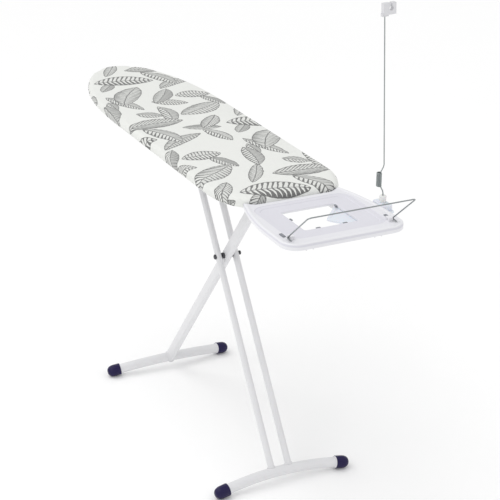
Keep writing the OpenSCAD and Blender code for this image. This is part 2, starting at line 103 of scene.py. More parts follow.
@dataclass
class Shell:
    """Points and faces of a mesh under construction, in millimetres."""

    points: np.ndarray
    faces: list

    def __add__(self, other: "Shell") -> "Shell":
        """Both shells as one."""
        shift = len(self.points)
        return Shell(
            np.concatenate([self.points, other.points]),
            self.faces + [[k + shift for k in face] for face in other.faces],
        )

    def placed(self, origin: np.ndarray, axes: np.ndarray) -> "Shell":
        """The shell with its own X, Y and Z along the rows of axes, moved to origin."""
        return Shell(self.points @ np.asarray(axes) + np.asarray(origin), self.faces)

    def piece(self, name: str, sharp: float = 40.0, weld: float = 0.002) -> bpy.types.Object:
        """Makes the object: doubles merged, faces outwards, smooth up to an angle.

        Args:
            name: name of the new piece.
            sharp: edges that turn more than this many degrees stay sharp.
            weld: points closer than this many millimetres become one.

        Returns:
            The new object, at the origin.
        """
        mesh = bpy.data.meshes.new(name)
        mesh.from_pydata((self.points * MM).tolist(), [], self.faces)
        work = bmesh.new()
        work.from_mesh(mesh)
        bmesh.ops.remove_doubles(work, verts=work.verts, dist=weld * MM)
        bmesh.ops.recalc_face_normals(work, faces=work.faces)
        work.to_mesh(mesh)
        work.free()
        mesh.shade_smooth()
        mesh.set_sharp_from_angle(angle=math.radians(sharp))
        return show(name, mesh)


def surface(
    points: np.ndarray, wrap_rows: bool = False, wrap_cols: bool = True, ends: bool = True
) -> Shell:
    """A shell from a grid of points; ends closes its first and last rows with a face."""
    rows, cols = points.shape[:2]
    faces = grid_faces(rows, cols, wrap_rows, wrap_cols).tolist()
    if ends and not wrap_rows:
        faces.append(list(range(cols)))
        faces.append(list(range((rows - 1) * cols, rows * cols)))
    return Shell(points.reshape(-1, 3), faces)


def ring(radius: float, sides: int) -> np.ndarray:
    """A round section: radius times the cosine and sine of evenly spaced angles."""
    angle = np.linspace(0, 2 * math.pi, sides, endpoint=False)
    return radius * np.stack([np.cos(angle), np.sin(angle)], 1)


def oval(width: float, depth: float, sides: int) -> np.ndarray:
    """A flat-oval section: two half circles of the width, their centres depth - width apart."""
    section = ring(width / 2, sides)
    section[:, 1] += np.sign(np.round(section[:, 1], 6)) * (depth - width) / 2
    return section


def carried(path: np.ndarray, section: np.ndarray, up: tuple, closed: bool = False) -> Shell:
    """A section carried along a path: path point + a * side + b * lift.

    The side is the unit vector across up and the path's direction, and the lift is across both.

    Args:
        path: points of the path.
        section: points (a, b) of the section, or one such set for each path point.
        up: a direction the path never follows.
        closed: the path's end joins its start.

    Returns:
        The swept shell, its ends closed.
    """
    if closed:
        way = np.roll(path, -1, 0) - np.roll(path, 1, 0)
    else:
        way = np.gradient(path, axis=0)
    way /= np.linalg.norm(way, axis=1, keepdims=True)
    side = np.cross(np.asarray(up, float), way)
    side /= np.linalg.norm(side, axis=1, keepdims=True)
    lift = np.cross(way, side)
    section = np.broadcast_to(section, (len(path),) + section.shape[-2:])
    points = (
        path[:, None]
        + section[..., :1] * side[:, None]
        + section[..., 1:] * lift[:, None]
    )
    return surface(points, wrap_rows=closed)


def turned(profile: np.ndarray, sides: int, waves: int = 0, depth: float = 0.0) -> Shell:
    """A profile turned about Z: (r cos a, r sin a, z), with r scaled by 1 + depth * cos(waves * a).

    Args:
        profile: points (radius, height).
        sides: number of columns round the axis.
        waves: number of lengthwise ribs.
        depth: relative depth of the ribs.

    Returns:
        The turned shell, its ends closed.
    """
    angle = np.linspace(0, 2 * math.pi, sides, endpoint=False)
    radius = profile[:, :1] * (1 + depth * np.cos(waves * angle))[None]
    height = np.broadcast_to(profile[:, 1:], radius.shape)
    return surface(np.stack([radius * np.cos(angle), radius * np.sin(angle), height], -1))


def rounded(corners: np.ndarray, radii: np.ndarray, steps: int, closed: bool) -> np.ndarray:
    """A path or a stack of profiles with its corners rounded.

    Each corner becomes the curve (1-t)^2 A + 2t(1-t) P + t^2 B, where A and B lie on the two legs
    at the corner's radius from its point P, or at 0.48 of a leg that is shorter.

    Args:
        corners: array of corner points, corners first; more axes may follow before the coordinates.
        radii: one length for each corner.
        steps: points for each rounded corner.
        closed: the last corner joins the first.

    Returns:
        Array like corners, with steps points for each corner.
    """
    before, after = np.roll(corners, 1, 0), np.roll(corners, -1, 0)
    if not closed:
        before[0], after[-1] = corners[0], corners[-1]
    shape = (-1,) + (1,) * (corners.ndim - 1)
    cut = np.asarray(radii, float).reshape(shape)

    def leg(to: np.ndarray) -> np.ndarray:
        """The vector from each corner along a leg, cut to the rounding's length."""
        way = to - corners
        length = np.linalg.norm(way, axis=-1, keepdims=True)
        return way * np.minimum(cut / np.maximum(length, 1e-9), 0.48)

    t = np.linspace(0, 1, steps).reshape((1, steps) + (1,) * (corners.ndim - 1))
    start, end = (corners + leg(before))[:, None], (corners + leg(after))[:, None]
    curve = (1 - t) ** 2 * start + 2 * t * (1 - t) * corners[:, None] + t**2 * end
    return curve.reshape((-1,) + corners.shape[1:])


def slab(outline: np.ndarray, low: float, high: float, edge: float, steps: int = 4) -> Shell:
    """A flat plate whose upper and lower edges follow a quarter circle.

    Args:
        outline: points (x, y) anticlockwise.
        low: bottom level.
        high: top level.
        edge: radius of the rounded edges.
        steps: rows for each rounded edge.

    Returns:
        The closed plate.
    """
    way = np.roll(outline, -1, 0) - np.roll(outline, 1, 0)
    out = np.stack([way[:, 1], -way[:, 0]], 1)
    out /= np.maximum(np.linalg.norm(out, axis=1, keepdims=True), 1e-9)
    turn = np.linspace(0, math.pi / 2, steps)
    inset = edge * (1 - np.sin(turn))
    rise = edge * (1 - np.cos(turn))
    insets = np.concatenate([inset, inset[::-1]])
    levels = np.concatenate([low + rise, (high - rise)[::-1]])
    flat = outline[None] - out[None] * insets[:, None, None]
    level = np.broadcast_to(levels[:, None, None], flat.shape[:2] + (1,))
    return surface(np.concatenate([flat, level], -1))


def round_rect(length: float, width: float, radius: float, steps: int = 8) -> np.ndarray:
    """Anticlockwise rectangle about the origin with round corners."""
    turn = np.linspace(0, math.pi / 2, steps)
    corner = radius * np.stack([np.cos(turn), np.sin(turn)], 1)
    spin = [np.array([[1, 0], [0, 1]]), np.array([[0, 1], [-1, 0]])]
    spin += [-spin[0], -spin[1]]
    reach = [(1, 1), (-1, 1), (-1, -1), (1, -1)]
    return np.concatenate(
        [
            corner @ m + np.array([sx * (length / 2 - radius), sy * (width / 2 - radius)])
            for m, (sx, sy) in zip(spin, reach)
        ]
    )


def settle(
    piece: bpy.types.Object, body: str, slot: str, finish: bpy.types.Material, *nodes: str
) -> bpy.types.Object:
    """Dresses a new piece, hangs it on its body and hides the CAD nodes it stands for.

    Args:
        piece: the finished object.
        body: CAD body it rides on.
        slot: the record's material slot; not used.
        finish: its material.
        nodes: CAD nodes it stands for.

    Returns:
        The piece.
    """
    piece.data.materials.append(finish)
    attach(piece, body)
    if nodes:
        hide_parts(*nodes)
    log.info("piece %s on %s, %d faces", piece.name, body, len(piece.data.polygons))
    return piece


# ---------------------------------------------------------------- shading


class Socket(Enum):
    """Kinds of value that a node group takes or gives."""

    NUMBER = "NodeSocketFloat"
    VECTOR = "NodeSocketVector"
    COLOUR = "NodeSocketColor"


class Wiring:
    """Short hand for the nodes of one tree, made in the order in which they are worked out."""

    def __init__(self, tree: bpy.types.NodeTree) -> None:
        """Starts on an existing tree."""
        self.tree = tree

    def node(self, kind: str, **settings: object) -> bpy.types.Node:
        """A new node with its settings."""
        made = self.tree.nodes.new("ShaderNode" + kind)
        for key, value in settings.items():
            setattr(made, key, value)
        return made

    def feed(self, target: bpy.types.NodeSocket, value: object) -> None:
        """Links a socket into target, or sets target to a constant."""
        if isinstance(value, bpy.types.NodeSocket):
            self.tree.links.new(value, target)
        else:
            target.default_value = value

    def math(self, operation: str, *values: object) -> bpy.types.NodeSocket:
        """One step of arithmetic."""
        made = self.node("Math", operation=operation)
        for target, value in zip(made.inputs, values):
            self.feed(target, value)
        return made.outputs[0]

    add = partialmethod(math, "ADD")
    sub = partialmethod(math, "SUBTRACT")
    mul = partialmethod(math, "MULTIPLY")
    div = partialmethod(math, "DIVIDE")
    muladd = partialmethod(math, "MULTIPLY_ADD")
    most = partialmethod(math, "MAXIMUM")
    least = partialmethod(math, "MINIMUM")
    size = partialmethod(math, "ABSOLUTE")
    fract = partialmethod(math, "FRACT")
    sine = partialmethod(math, "SINE")
    wrap = partialmethod(math, "WRAP")

    def vector(self, operation: str, *values: object) -> bpy.types.NodeSocket:
        """One step of vector arithmetic that gives a vector."""
        made = self.node("VectorMath", operation=operation)
        for target, value in zip(made.inputs, values):
            self.feed(target, value)
        return made.outputs[0]

    def scaled(self, value: object, factor: object) -> bpy.types.NodeSocket:
        """A vector times a number."""
        made = self.node("VectorMath", operation="SCALE")
        self.feed(made.inputs[0], value)
        self.feed(made.inputs["Scale"], factor)
        return made.outputs[0]

    def parts(self, value: bpy.types.NodeSocket) -> list:
        """X, Y and Z of a vector."""
        made = self.node("SeparateXYZ")
        self.feed(made.inputs[0], value)
        return list(made.outputs)

    def joined(self, x: object, y: object, z: object = 0.0) -> bpy.types.NodeSocket:
        """A vector from its three parts."""
        made = self.node("CombineXYZ")
        for target, value in zip(made.inputs, (x, y, z)):
            self.feed(target, value)
        return made.outputs[0]

    def span(
        self, value: object, low: object, high: object, start: object = 0.0, end: object = 1.0
    ) -> bpy.types.NodeSocket:
        """Value from low to high, mapped smoothly to start to end and held there."""
        made = self.node("MapRange", interpolation_type="SMOOTHSTEP")
        keys = ("Value", "From Min", "From Max", "To Min", "To Max")
        for key, item in zip(keys, (value, low, high, start, end)):
            self.feed(made.inputs[key], item)
        return made.outputs[0]

    def blend(self, share: object, first: object, second: object) -> bpy.types.NodeSocket:
        """Colour that goes from first to second."""
        made = self.node("Mix", data_type="RGBA")
        for key, item in ((0, share), (6, first), (7, second)):
            self.feed(made.inputs[key], item)
        return made.outputs[2]

    def between(self, share: object, first: object, second: object) -> bpy.types.NodeSocket:
        """Number that goes from first to second."""
        made = self.node("Mix", data_type="FLOAT")
        for key, item in ((0, share), (2, first), (3, second)):
            self.feed(made.inputs[key], item)
        return made.outputs[0]

    def noise(
        self, place: object, scale: object, detail: float = 2.0, rough: float = 0.5
    ) -> bpy.types.NodeSocket:
        """Smooth noise from 0 to 1."""
        made = self.node("TexNoise")
        keys = ("Vector", "Scale", "Detail", "Roughness")
        for key, item in zip(keys, (place, scale, detail, rough)):
            self.feed(made.inputs[key], item)
        return made.outputs[0]

    def group(self, tree: bpy.types.NodeTree, **values: object) -> bpy.types.Node:
        """Places a node group; an underscore in a keyword stands for a space."""
        made = self.node("Group")
        made.node_tree = tree
        for key, value in values.items():
            self.feed(made.inputs[key.replace("_", " ")], value)
        return made


def make_group(name: str, takes: dict, gives: dict) -> tuple:
    """A new shader node group.

    Args:
        name: its name.
        takes: input names with their kinds.
        gives: output names with their kinds.

    Returns:
        The group, its wiring, a dict of its input sockets and its output node.
    """
    tree = bpy.data.node_groups.new(name, "ShaderNodeTree")
    for direction, sockets in (("INPUT", takes), ("OUTPUT", gives)):
        for key, kind in sockets.items():
            tree.interface.new_socket(name=key, in_out=direction, socket_type=kind.value)
    entry, way_out = tree.nodes.new("NodeGroupInput"), tree.nodes.new("NodeGroupOutput")
    return tree, Wiring(tree), {s.name: s for s in entry.outputs if s.name}, way_out


class Effects:
    """The shader node groups that several finishes share."""

    COLUMN = 552.0
    DROP = 222.0

    def __init__(self) -> None:
        """Builds every group once."""
        self.drift = self._drift()
        self.grain = self._grain()
        self.weave = self._weave()
        self.rubbed = self._rubbed()
        self.leaf = self._leaf()

    @staticmethod
    def _drift() -> bpy.types.NodeTree:
        """Slow change of tone with specks of dust: colour times 1 - amount * (noise + specks)."""
        tree, w, i, out = make_group(
            "tone_drift",
            {
                "Vector": Socket.VECTOR,
                "Colour": Socket.COLOUR,
                "Scale": Socket.NUMBER,
                "Amount": Socket.NUMBER,
            },
            {"Colour": Socket.COLOUR, "Mask": Socket.NUMBER},
        )
        broad = w.noise(i["Vector"], i["Scale"], 3.0)
        fine = w.noise(i["Vector"], w.mul(i["Scale"], 23.0), 2.0)
        specks = w.span(fine, 0.62, 0.75)
        mask = w.muladd(specks, 0.35, w.span(broad, 0.3, 0.75))
        dim = w.sub(1.0, w.mul(mask, i["Amount"]))
        w.feed(out.inputs["Colour"], w.scaled(i["Colour"], dim))
        w.feed(out.inputs["Mask"], mask)
        return tree

    @staticmethod
    def _grain() -> bpy.types.NodeTree:
        """Two layers of fine bumps, the second five times finer than the first."""
        tree, w, i, out = make_group(
            "fine_grain",
            {"Vector": Socket.VECTOR, "Scale": Socket.NUMBER, "Mix": Socket.NUMBER},
            {"Height": Socket.NUMBER, "Gloss": Socket.NUMBER},
        )
        coarse = w.noise(i["Vector"], i["Scale"], 2.0)
        fine = w.noise(i["Vector"], w.mul(i["Scale"], 5.0), 1.0)
        height = w.between(i["Mix"], coarse, fine)
        w.feed(out.inputs["Height"], height)
        w.feed(out.inputs["Gloss"], w.span(coarse, 0.35, 0.65, -1.0, 1.0))
        return tree

    @staticmethod
    def _weave() -> bpy.types.NodeTree:
        """Plain weave: two sets of round threads that take turns on top, as in a chequerboard."""
        tree, w, i, out = make_group(
            "plain_weave",
            {"Vector": Socket.VECTOR, "Thread": Socket.NUMBER},
            {"Height": Socket.NUMBER, "Slub": Socket.NUMBER},
        )
        x, y, _ = w.parts(w.vector("DIVIDE", i["Vector"], w.joined(i["Thread"], i["Thread"], 1.0)))
        warp = w.size(w.sine(w.mul(x, math.pi)))
        weft = w.size(w.sine(w.mul(y, math.pi)))
        parity = w.add(w.math("FLOOR", x), w.math("FLOOR", y))
        over = w.wrap(parity, 2.0, 0.0)
        height = w.between(over, w.muladd(weft, 0.35, warp), w.muladd(warp, 0.35, weft))
        slub = w.noise(w.joined(w.mul(x, 0.03), w.mul(y, 0.9)), 1.0, 2.0)
        w.feed(out.inputs["Height"], height)
        w.feed(out.inputs["Slub"], slub)
        return tree

    @staticmethod
    def _rubbed() -> bpy.types.NodeTree:
        """Streaks of handling along one direction: noise drawn out twenty times on that axis."""
        tree, w, i, out = make_group(
            "rub_streaks",
            {"Vector": Socket.VECTOR, "Along": Socket.VECTOR, "Scale": Socket.NUMBER},
            {"Mask": Socket.NUMBER, "Height": Socket.NUMBER},
        )
        squeeze = w.vector("SUBTRACT", (1.0, 1.0, 1.0), w.scaled(i["Along"], 0.95))
        place = w.vector("MULTIPLY", i["Vector"], squeeze)
        streak = w.noise(place, i["Scale"], 4.0, 0.6)
        w.feed(out.inputs["Mask"], w.span(streak, 0.4, 0.7))
        w.feed(out.inputs["Height"], streak)
        return tree

    def _leaf(self) -> bpy.types.NodeTree:
        """One drawn leaf, repeated in a half-drop lattice, laid over the ink under it.

        With u along the leaf and v across it, the half width is width/2 * (1 -
        (2u/length)^2)^0.8. The ink is the outline, the midrib, slanting strokes that widen
        outwards as wedges and weigh more on one side, and a grey wash.
        """
        kinds = {"Vector": Socket.VECTOR, "Centre": Socket.VECTOR}
        numbers = ("Under", "Turn", "Length", "Width", "Pitch", "Slant", "Bend", "Tone", "Bold")
        tree, w, i, out = make_group(
            "drawn_leaf", {**kinds, **{n: Socket.NUMBER for n in numbers}}, {"Ink": Socket.NUMBER}
        )
        x, y, _ = w.parts(w.vector("SUBTRACT", i["Vector"], i["Centre"]))
        column = w.math("ROUND", w.div(x, self.COLUMN))
        x = w.muladd(column, -self.COLUMN, x)
        y = w.wrap(w.muladd(column, -self.DROP, y), self.DROP, -self.DROP)
        spin = w.node("VectorRotate", rotation_type="Z_AXIS")
        w.feed(spin.inputs["Vector"], w.joined(x, y))
        w.feed(spin.inputs["Angle"], w.mul(i["Turn"], -1.0))
        u, v, _ = w.parts(spin.outputs[0])
        v = w.muladd(w.mul(u, u), i["Bend"], v)
        s = w.div(w.mul(u, 2.0), i["Length"])
        room = w.most(w.sub(1.0, w.mul(s, s)), 0.0)
        half = w.mul(w.mul(i["Width"], 0.5), w.math("POWER", room, 0.8))
        off = w.size(v)
        depth = w.sub(half, off)
        cover = w.span(depth, -0.2, 0.6)
        edge = w.muladd(i["Bold"], 1.4, 1.7)
        outline = w.span(depth, edge, w.add(edge, 1.2), 0.95, 0.0)
        rib = w.span(off, w.muladd(i["Bold"], 0.8, 0.7), w.muladd(i["Bold"], 0.8, 1.8), 0.95, 0.0)
        phase = w.div(w.sub(w.mul(off, i["Slant"]), u), i["Pitch"])
        wave = w.size(w.sub(w.fract(phase), 0.5))
        reach = w.div(off, w.most(half, 1.0))
        heavy = w.mul(w.span(v, -1.0, 1.0, 1.0, 0.0), w.muladd(i["Bold"], 0.07, 0.02))
        wedge = w.mul(w.mul(reach, reach), w.muladd(heavy, 1.5, 0.16))
        stroke = w.add(w.add(heavy, wedge), w.muladd(i["Bold"], 0.06, 0.085))
        lines = w.span(w.sub(stroke, wave), -0.04, 0.05, 0.0, 0.95)
        wash = w.mul(i["Tone"], w.span(v, -1.0, 1.0, 0.6, 1.6))
        ink = w.most(w.most(outline, rib), w.most(lines, wash))
        w.feed(out.inputs["Ink"], w.between(cover, i["Under"], ink))
        return tree


@dataclass(frozen=True)
class Leaf:
    """One leaf of the print: centre, direction and size in millimetres, and how it is drawn."""

    x: float
    y: float
    turn: float
    length: float
    width: float
    pitch: float = 7.0
    slant: float = 0.7
    bend: float = 0.0
    tone: float = 0.12
    bold: float = 0.3


LEAVES = (
    Leaf(-386, 15, 61, 118, 56, 9.5, 0.5, 0.0, 0.13, 0.35),
    Leaf(310, -26, -31, 152, 42, 10.8, 1.0, 0.0005, 0.16, 0.25),
    Leaf(-366, 155, 22, 118, 46, 10.8, 0.9, 0.0, 0.34, 0.15),
    Leaf(-439, 118, 86, 122, 72, 10.8, 0.15, 0.0, 0.09, 0.5),
    Leaf(-456, 22, -35, 160, 60, 12.2, 0.8, 0.001, 0.32, 0.1),
    Leaf(-436, -120, 20, 188, 48, 12.2, 1.2, 0.0, 0.18, 0.3),
    Leaf(-506, -82, -34, 196, 86, 13.5, 0.5, -0.0012, 0.13, 0.45),
    Leaf(-614, -108, -41, 94, 46, 10.8, 0.9, 0.0, 0.31, 0.15),
    Leaf(439, -33, 76, 200, 100, 14.9, 0.3, 0.0012, 0.05, 0.95),
    Leaf(-286, 83, -64, 182, 86, 12.2, 0.35, 0.0012, 0.12, 0.4),
    Leaf(-293, -94, 50, 86, 52, 10.8, 0.8, 0.0, 0.23, 0.25),
    Leaf(-276, -33, -8, 168, 54, 14.9, 0.7, 0.0022, 0.22, 0.2),
    Leaf(-119, 5, 70, 120, 46, 10.8, 1.0, 0.0, 0.38, 0.1),
    Leaf(-157, 51, -40, 132, 56, 10.8, 1.0, 0.001, 0.12, 0.45),
    Leaf(-36, 23, 16, 136, 50, 12.2, 0.9, 0.001, 0.09, 0.45),
    Leaf(120, 60, 0, 88, 34, 12.2, 0.8, 0.0, 0.27, 0.2),
    Leaf(178, 32, -9, 158, 58, 13.5, 0.8, 0.0012, 0.27, 0.25),
    Leaf(-211, -114, 86, 190, 84, 13.5, 1.1, 0.0, 0.12, 0.8),
    Leaf(-36, -106, -61, 178, 56, 12.2, 0.6, -0.0016, 0.18, 0.4),
    Leaf(-102, -124, 20, 176, 64, 14.9, 0.7, 0.0016, 0.18, 0.3),
)


@dataclass(frozen=True)
class Finish:
    """What every finish has: a name, a colour and a gloss."""

    name: str
    colour: tuple
    rough: float

    def start(self) -> tuple:
        """A new material: its wiring, its shader and its Object coordinates."""
        material = bpy.data.materials.new(self.name)
        material.use_nodes = True
        w = Wiring(material.node_tree)
        shader = material.node_tree.nodes["Principled BSDF"]
        place = w.node("TexCoord").outputs["Object"]
        return material, w, shader, place

    @staticmethod
    def fix(shader: bpy.types.Node, **values: float) -> None:
        """Sets constants on the shader; an underscore in a keyword stands for a space."""
        for key, value in values.items():
            shader.inputs[key.replace("_", " ")].default_value = value

    def drifted(
        self, w: Wiring, effects: Effects, place: object, scale: float, amount: float
    ) -> bpy.types.Node:
        """The finish's own colour with a slow drift of tone."""
        colour = self.colour + (1.0,)
        return w.group(effects.drift, Vector=place, Colour=colour, Scale=scale, Amount=amount)

    def relief(
        self, w: Wiring, shader: bpy.types.Node, height: object, depth: float, edge: float = 0.0
    ) -> None:
        """Gives the shader bumps of a depth in metres, and soft edges of a radius in metres."""
        bump = w.node("Bump")
        bump.inputs["Distance"].default_value = depth
        w.feed(bump.inputs["Height"], height)
        if edge:
            soft = w.node("Bevel", samples=4)
            soft.inputs["Radius"].default_value = edge
            w.feed(bump.inputs["Normal"], soft.outputs[0])
        w.feed(shader.inputs["Normal"], bump.outputs[0])


@dataclass(frozen=True)
class Coating(Finish):
    """Powder coat or moulded plastic: an even colour, fine grain and a little dust."""

    grain: float = 900.0
    depth: float = 0.00005
    dust: float = 0.03
    coat: float = 0.0
    edge: float = 0.0
    glow: float = 0.0
    shine: float = 0.5

    def material(self, effects: Effects) -> bpy.types.Material:
        """Builds the material from the shared tone drift and grain."""
        material, w, shader, place = self.start()
        tone = self.drifted(w, effects, place, 9.0, self.dust)
        w.feed(shader.inputs["Base Color"], tone.outputs["Colour"])
        grain = w.group(effects.grain, Vector=place, Scale=self.grain, Mix=0.4)
        rough = w.muladd(grain.outputs["Gloss"], 0.03, self.rough)
        w.feed(shader.inputs["Roughness"], w.muladd(tone.outputs["Mask"], 0.05, rough))
        self.relief(w, shader, grain.outputs["Height"], self.depth, self.edge)
        self.fix(shader, Coat_Weight=self.coat, Coat_Roughness=0.15, Specular_IOR_Level=self.shine)
        self.fix(shader, Subsurface_Weight=self.glow, Subsurface_Scale=0.002)
        return material


@dataclass(frozen=True)
class TrayMoulding(Coating):
    """Moulded plastic with a polished rim and a finely textured deck below it, the deck painted
    slightly greyer as shade in the recess.
    """

    # deck colour: the rim's colour darkened as painted shade of the recessed deck
    deck: tuple = (0.70, 0.695, 0.75)
    rim_level: float = 0.9168

    def material(self, effects: Effects) -> bpy.types.Material:
        """Blends the deck's painted shade to the rim's colour by height in the Object coordinates.
        """
        material, w, shader, place = self.start()
        _, _, z = w.parts(place)
        rim = w.span(z, self.rim_level - 0.0012, self.rim_level + 0.0008)
        rim = w.most(rim, w.span(z, 0.9105, 0.9115, 1.0, 0.0))
        # painted shade: below the rim the tray takes the darker deck colour
        base = w.blend(rim, self.deck + (1.0,), self.colour + (1.0,))
        tone = w.group(effects.drift, Vector=place, Colour=base, Scale=9.0, Amount=self.dust)
        w.feed(shader.inputs["Base Color"], tone.outputs["Colour"])
        grain = w.group(effects.grain, Vector=place, Scale=self.grain, Mix=0.4)
        w.feed(shader.inputs["Roughness"], w.between(rim, 0.55, self.rough))
        self.relief(w, shader, w.mul(grain.outputs["Height"], w.between(rim, 1.0, 0.2)), self.depth)
        return material


@dataclass(frozen=True)
class Steel(Finish):
    """Plated or blackened steel with drawn streaks."""

    along: tuple = (0.0, 0.0, 1.0)
    metal: float = 1.0
    edge: float = 0.0

    def material(self, effects: Effects) -> bpy.types.Material:
        """Builds the material from the shared streaks and tone drift."""
        material, w, shader, place = self.start()
        tone = self.drifted(w, effects, place, 30.0, 0.18)
        streak = w.group(effects.rubbed, Vector=place, Along=self.along, Scale=700.0)
        dark = tuple(0.72 * c for c in self.colour) + (1.0,)
        share = w.mul(streak.outputs["Mask"], 0.5)
        w.feed(shader.inputs["Base Color"], w.blend(share, tone.outputs["Colour"], dark))
        w.feed(shader.inputs["Roughness"], w.muladd(streak.outputs["Mask"], 0.14, self.rough))
        self.fix(shader, Metallic=self.metal)
        self.relief(w, shader, streak.outputs["Height"], 0.00004, self.edge)
        return material


@dataclass(frozen=True)
class Perforated(Finish):
    """Powder-coated sheet with staggered round holes that show the felt above it, painted dark as
    the shade inside the holes.
    """

    pitch: float = 0.016
    hole: float = 0.0048

    def material(self, effects: Effects) -> bpy.types.Material:
        """Holes where the nearer of two offset square lattices is closer than the hole's radius."""
        material, w, shader, place = self.start()
        x, y, _ = w.parts(place)

        def distance(shift: float) -> bpy.types.NodeSocket:
            """Distance to the nearest point of a lattice moved by shift pitches both ways."""
            a = w.wrap(w.add(x, shift * self.pitch), self.pitch / 2, -self.pitch / 2)
            b = w.wrap(w.add(y, shift * self.pitch), self.pitch / 2, -self.pitch / 2)
            return w.math("SQRT", w.muladd(a, a, w.mul(b, b)))

        near = w.least(distance(0.0), distance(0.5))
        level = w.span(near, self.hole * 0.92, self.hole * 1.05)
        tone = self.drifted(w, effects, place, 9.0, 0.04)
        # painted shade: the felt seen through the holes is much darker than the felt itself
        felt = w.blend(w.noise(place, 400.0), (0.16, 0.16, 0.15, 1.0), (0.32, 0.31, 0.3, 1.0))
        w.feed(shader.inputs["Base Color"], w.blend(level, felt, tone.outputs["Colour"]))
        w.feed(shader.inputs["Roughness"], w.between(level, 0.95, self.rough))
        self.relief(w, shader, w.span(near, self.hole * 0.8, self.hole * 1.25), 0.0008)
        return material


@dataclass(frozen=True)
class Felt(Finish):
    """Matted fibres, for the underlay, or a ribbed knit where rib is above zero."""

    rib: float = 0.0

    def material(self, effects: Effects) -> bpy.types.Material:
        """Builds the material from grain, with ribs round the board's edge for the elastic."""
        material, w, shader, place = self.start()
        tone = self.drifted(w, effects, place, 40.0, 0.25)
        grain = w.group(effects.grain, Vector=place, Scale=260.0, Mix=0.5)
        height = grain.outputs["Height"]
        if self.rib:
            x, y, _ = w.parts(place)
            wave = w.sine(w.mul(w.add(x, y), self.rib))
            height = w.muladd(wave, 0.6, height)
        w.feed(shader.inputs["Base Color"], tone.outputs["Colour"])
        w.feed(shader.inputs["Roughness"], w.muladd(grain.outputs["Gloss"], 0.04, self.rough))
        self.fix(shader, Sheen_Weight=0.4)
        self.relief(w, shader, height, 0.0006)
        return material


@dataclass(frozen=True)
class PrintedCotton(Finish):
    """Off-white cotton with a drawn leaf print, laid out on the cloth before it was stretched."""

    thread: float = 0.00075
    ink: float = 0.96

    def material(self, effects: Effects) -> bpy.types.Material:
        """Builds the material: weave from the cloth's own flat coordinates, ink from the leaves."""
        material, w, shader, _ = self.start()
        cloth = w.node("Attribute", attribute_name="print").outputs["Vector"]
        flat = w.scaled(cloth, 1000.0)
        shake = w.node("TexNoise")
        w.feed(shake.inputs["Vector"], flat)
        w.feed(shake.inputs["Scale"], 0.05)
        w.feed(shake.inputs["Detail"], 3.0)
        wobble = w.scaled(w.vector("SUBTRACT", shake.outputs["Color"], (0.5, 0.5, 0.5)), 7.0)
        place = w.vector("ADD", flat, wobble)
        under = 0.0
        for leaf in LEAVES:
            under = w.group(
                effects.leaf,
                Vector=place,
                Centre=(leaf.x, leaf.y, 0.0),
                Under=under,
                Turn=math.radians(leaf.turn),
                Length=leaf.length,
                Width=leaf.width,
                Pitch=leaf.pitch,
                Slant=leaf.slant,
                Bend=leaf.bend,
                Tone=leaf.tone,
                Bold=leaf.bold,
            ).outputs["Ink"]
        uneven = w.span(w.noise(flat, 0.35, 3.0), 0.25, 0.7, 0.8, 1.0)
        ink = w.mul(w.mul(under, uneven), self.ink)
        weave = w.group(effects.weave, Vector=cloth, Thread=self.thread)
        slub = w.span(weave.outputs["Slub"], 0.3, 0.7, 0.97, 1.0)
        ground = w.scaled(self.colour, slub)
        shade = w.node("Mix", data_type="RGBA")
        w.feed(shade.inputs[0], ink)
        w.feed(shade.inputs[6], ground)
        shade.inputs[7].default_value = (0.03, 0.03, 0.032, 1.0)
        w.feed(shader.inputs["Base Color"], shade.outputs[2])
        w.feed(shader.inputs["Roughness"], w.muladd(weave.outputs["Height"], -0.06, self.rough))
        self.fix(shader, Sheen_Weight=0.15, Sheen_Roughness=0.5)
        self.relief(w, shader, weave.outputs["Height"], 0.00012)
        return material


